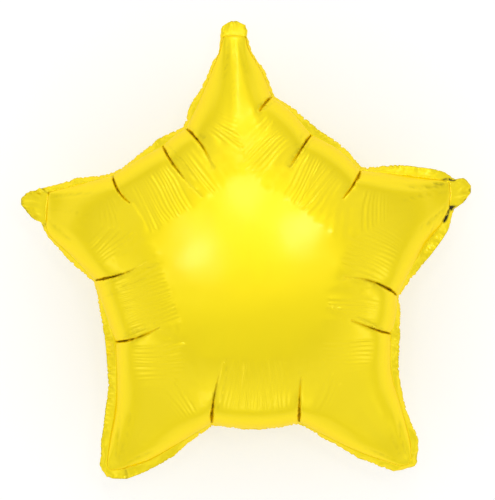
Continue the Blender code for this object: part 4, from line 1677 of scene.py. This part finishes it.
@dataclass
class Studio:
    """A pale floor, soft light all round and a camera that looks straight down.

    Attributes:
        camera_height: From the plane of the seal to the camera.
        field: Height of what the camera sees in that plane.
        centre: What it looks at, across and along the star.
        seal_height: From the floor to the seal.
        zenith: Brightness of the sky straight overhead, where 1 is white.
        overhead: Brightness of the sky halfway up.
        horizon: Brightness of the sky at eye level.
        low_band: Heights, from 0 at eye level to 1 straight overhead, between which it brightens.
        high_band: Heights between which it dims again.
        softboxes: The lamps.
        floor_span: From the middle of the floor to its sides.
        paper: The floor's colour.
        paper_roughness: How matt it is.
        paper_glow: What the floor gives off besides, as the eye or a mirror sees it.
    """

    camera_height: float = 2.2
    field: float = 0.485
    centre: tuple[float, float] = (0.0015, -0.0003)
    seal_height: float = 0.0797
    zenith: float = 0.56
    overhead: float = 0.9
    horizon: float = 0.58
    low_band: tuple[float, float] = (0.0, 0.6)
    high_band: tuple[float, float] = (0.75, 0.97)
    softboxes: tuple[Softbox, ...] = (
        Softbox("key_left", 285.0, 9.5, 2.0, 0.18, 0.18, 14.0),
        Softbox("key_right", 57.0, 12.0, 2.0, 0.22, 0.22, 12.0),
        Softbox("key_top", 0.0, 14.0, 2.0, 0.15, 0.42, 7.0),
        Softbox("strip_high", 0.0, 40.0, 2.0, 0.2, 1.0, 2.5),
        Softbox("strip_low", 0.0, 68.0, 2.0, 0.2, 0.8, 3.5),
        Softbox("side_left", 250.0, 58.0, 2.2, 0.5, 0.9, 1.0),
        Softbox("side_right", 110.0, 58.0, 2.2, 0.5, 0.9, 1.0),
        Softbox("side_foot", 180.0, 58.0, 2.2, 0.5, 0.9, 1.0),
    )
    floor_span: float = 6.0
    paper: str = "#D0D0D0"
    paper_roughness: float = 0.9
    paper_glow: float = 0.46

    def build(self) -> None:
        """Makes the floor, the lamps, the world and the camera."""
        scene = bpy.context.scene
        scene.view_settings.view_transform = "Standard"
        self._floor()
        self._sky()
        for softbox in self.softboxes:
            softbox.build(Vector((0.0, 0.0, self.seal_height)))
        view = bpy.data.cameras.new("camera")
        view.lens = view.sensor_width * self.camera_height / self.field
        camera = bpy.data.objects.new("camera", view)
        camera.location = (*self.centre, self.seal_height + self.camera_height)
        scene.collection.objects.link(camera)
        scene.camera = camera

    def _floor(self) -> None:
        """Lays a sheet of background paper, matt and near white, that the eye sees as white."""
        span = self.floor_span
        mesh = bpy.data.meshes.new("floor")
        corners = [(-span, -span, 0.0), (span, -span, 0.0), (span, span, 0.0), (-span, span, 0.0)]
        mesh.from_pydata(corners, [], [(0, 1, 2, 3)])
        material = bpy.data.materials.new("studio_paper")
        material.use_nodes = True
        tree = material.node_tree
        shader = tree.nodes["Principled BSDF"]
        shader.inputs["Base Color"].default_value = linear(self.paper)
        shader.inputs["Roughness"].default_value = self.paper_roughness
        shader.inputs["Emission Color"].default_value = linear("#FFFFFF")
        ray = add_node(tree, "ShaderNodeLightPath")
        seen = ray.outputs["Is Camera Ray"]
        for other in ("Is Glossy Ray", "Is Transmission Ray"):
            seen = add_node(tree, MATH, MOST, seen, ray.outputs[other])
        glow = add_node(tree, MATH, TIMES, seen, self.paper_glow)
        tree.links.new(glow.outputs[0], shader.inputs["Emission Strength"])
        mesh.materials.append(material)
        floor = bpy.data.objects.new("floor", mesh)
        bpy.context.scene.collection.objects.link(floor)

    def _sky(self) -> None:
        """Lights the balloon all round, brightest between the horizon and straight overhead."""
        world = bpy.data.worlds.new("studio_sky")
        world.use_nodes = True
        tree = world.node_tree
        split = add_node(tree, SPLIT, None, add_node(tree, PLACE).outputs["Generated"])
        height = split.outputs["Z"]
        low = add_node(tree, RANGE, SOFT, height, *self.low_band, self.horizon, self.overhead)
        dimmed = self.zenith / self.overhead
        high = add_node(tree, RANGE, SOFT, height, *self.high_band, 1.0, dimmed)
        glow = add_node(tree, MATH, TIMES, low, high)
        sky = tree.nodes["Background"]
        sky.inputs["Color"].default_value = linear("#FFFFFF")
        tree.links.new(glow.outputs[0], sky.inputs["Strength"])
        bpy.context.scene.world = world


def main() -> None:
    """Builds the balloon and its studio."""
    logging.basicConfig(level=logging.INFO, format="%(message)s")
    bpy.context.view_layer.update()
    seal = SealPath()
    body = FilledBody(seal)
    fin = SealFin(seal)
    finish = film_material(FilmFinish())
    film, edge = body.build(), fin.build()
    Gathers().press(film, finish)
    fin.ruffle_edge(edge, finish)
    tail = FillingTail(seal).build(body)
    tail.data.materials.append(finish)
    for piece in (film, edge, tail):
        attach(piece, BODY)
        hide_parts(NODE)
        log.info("%s: %d faces", piece.name, len(piece.data.polygons))
    Studio().build()


if __name__ == "__main__":
    main()
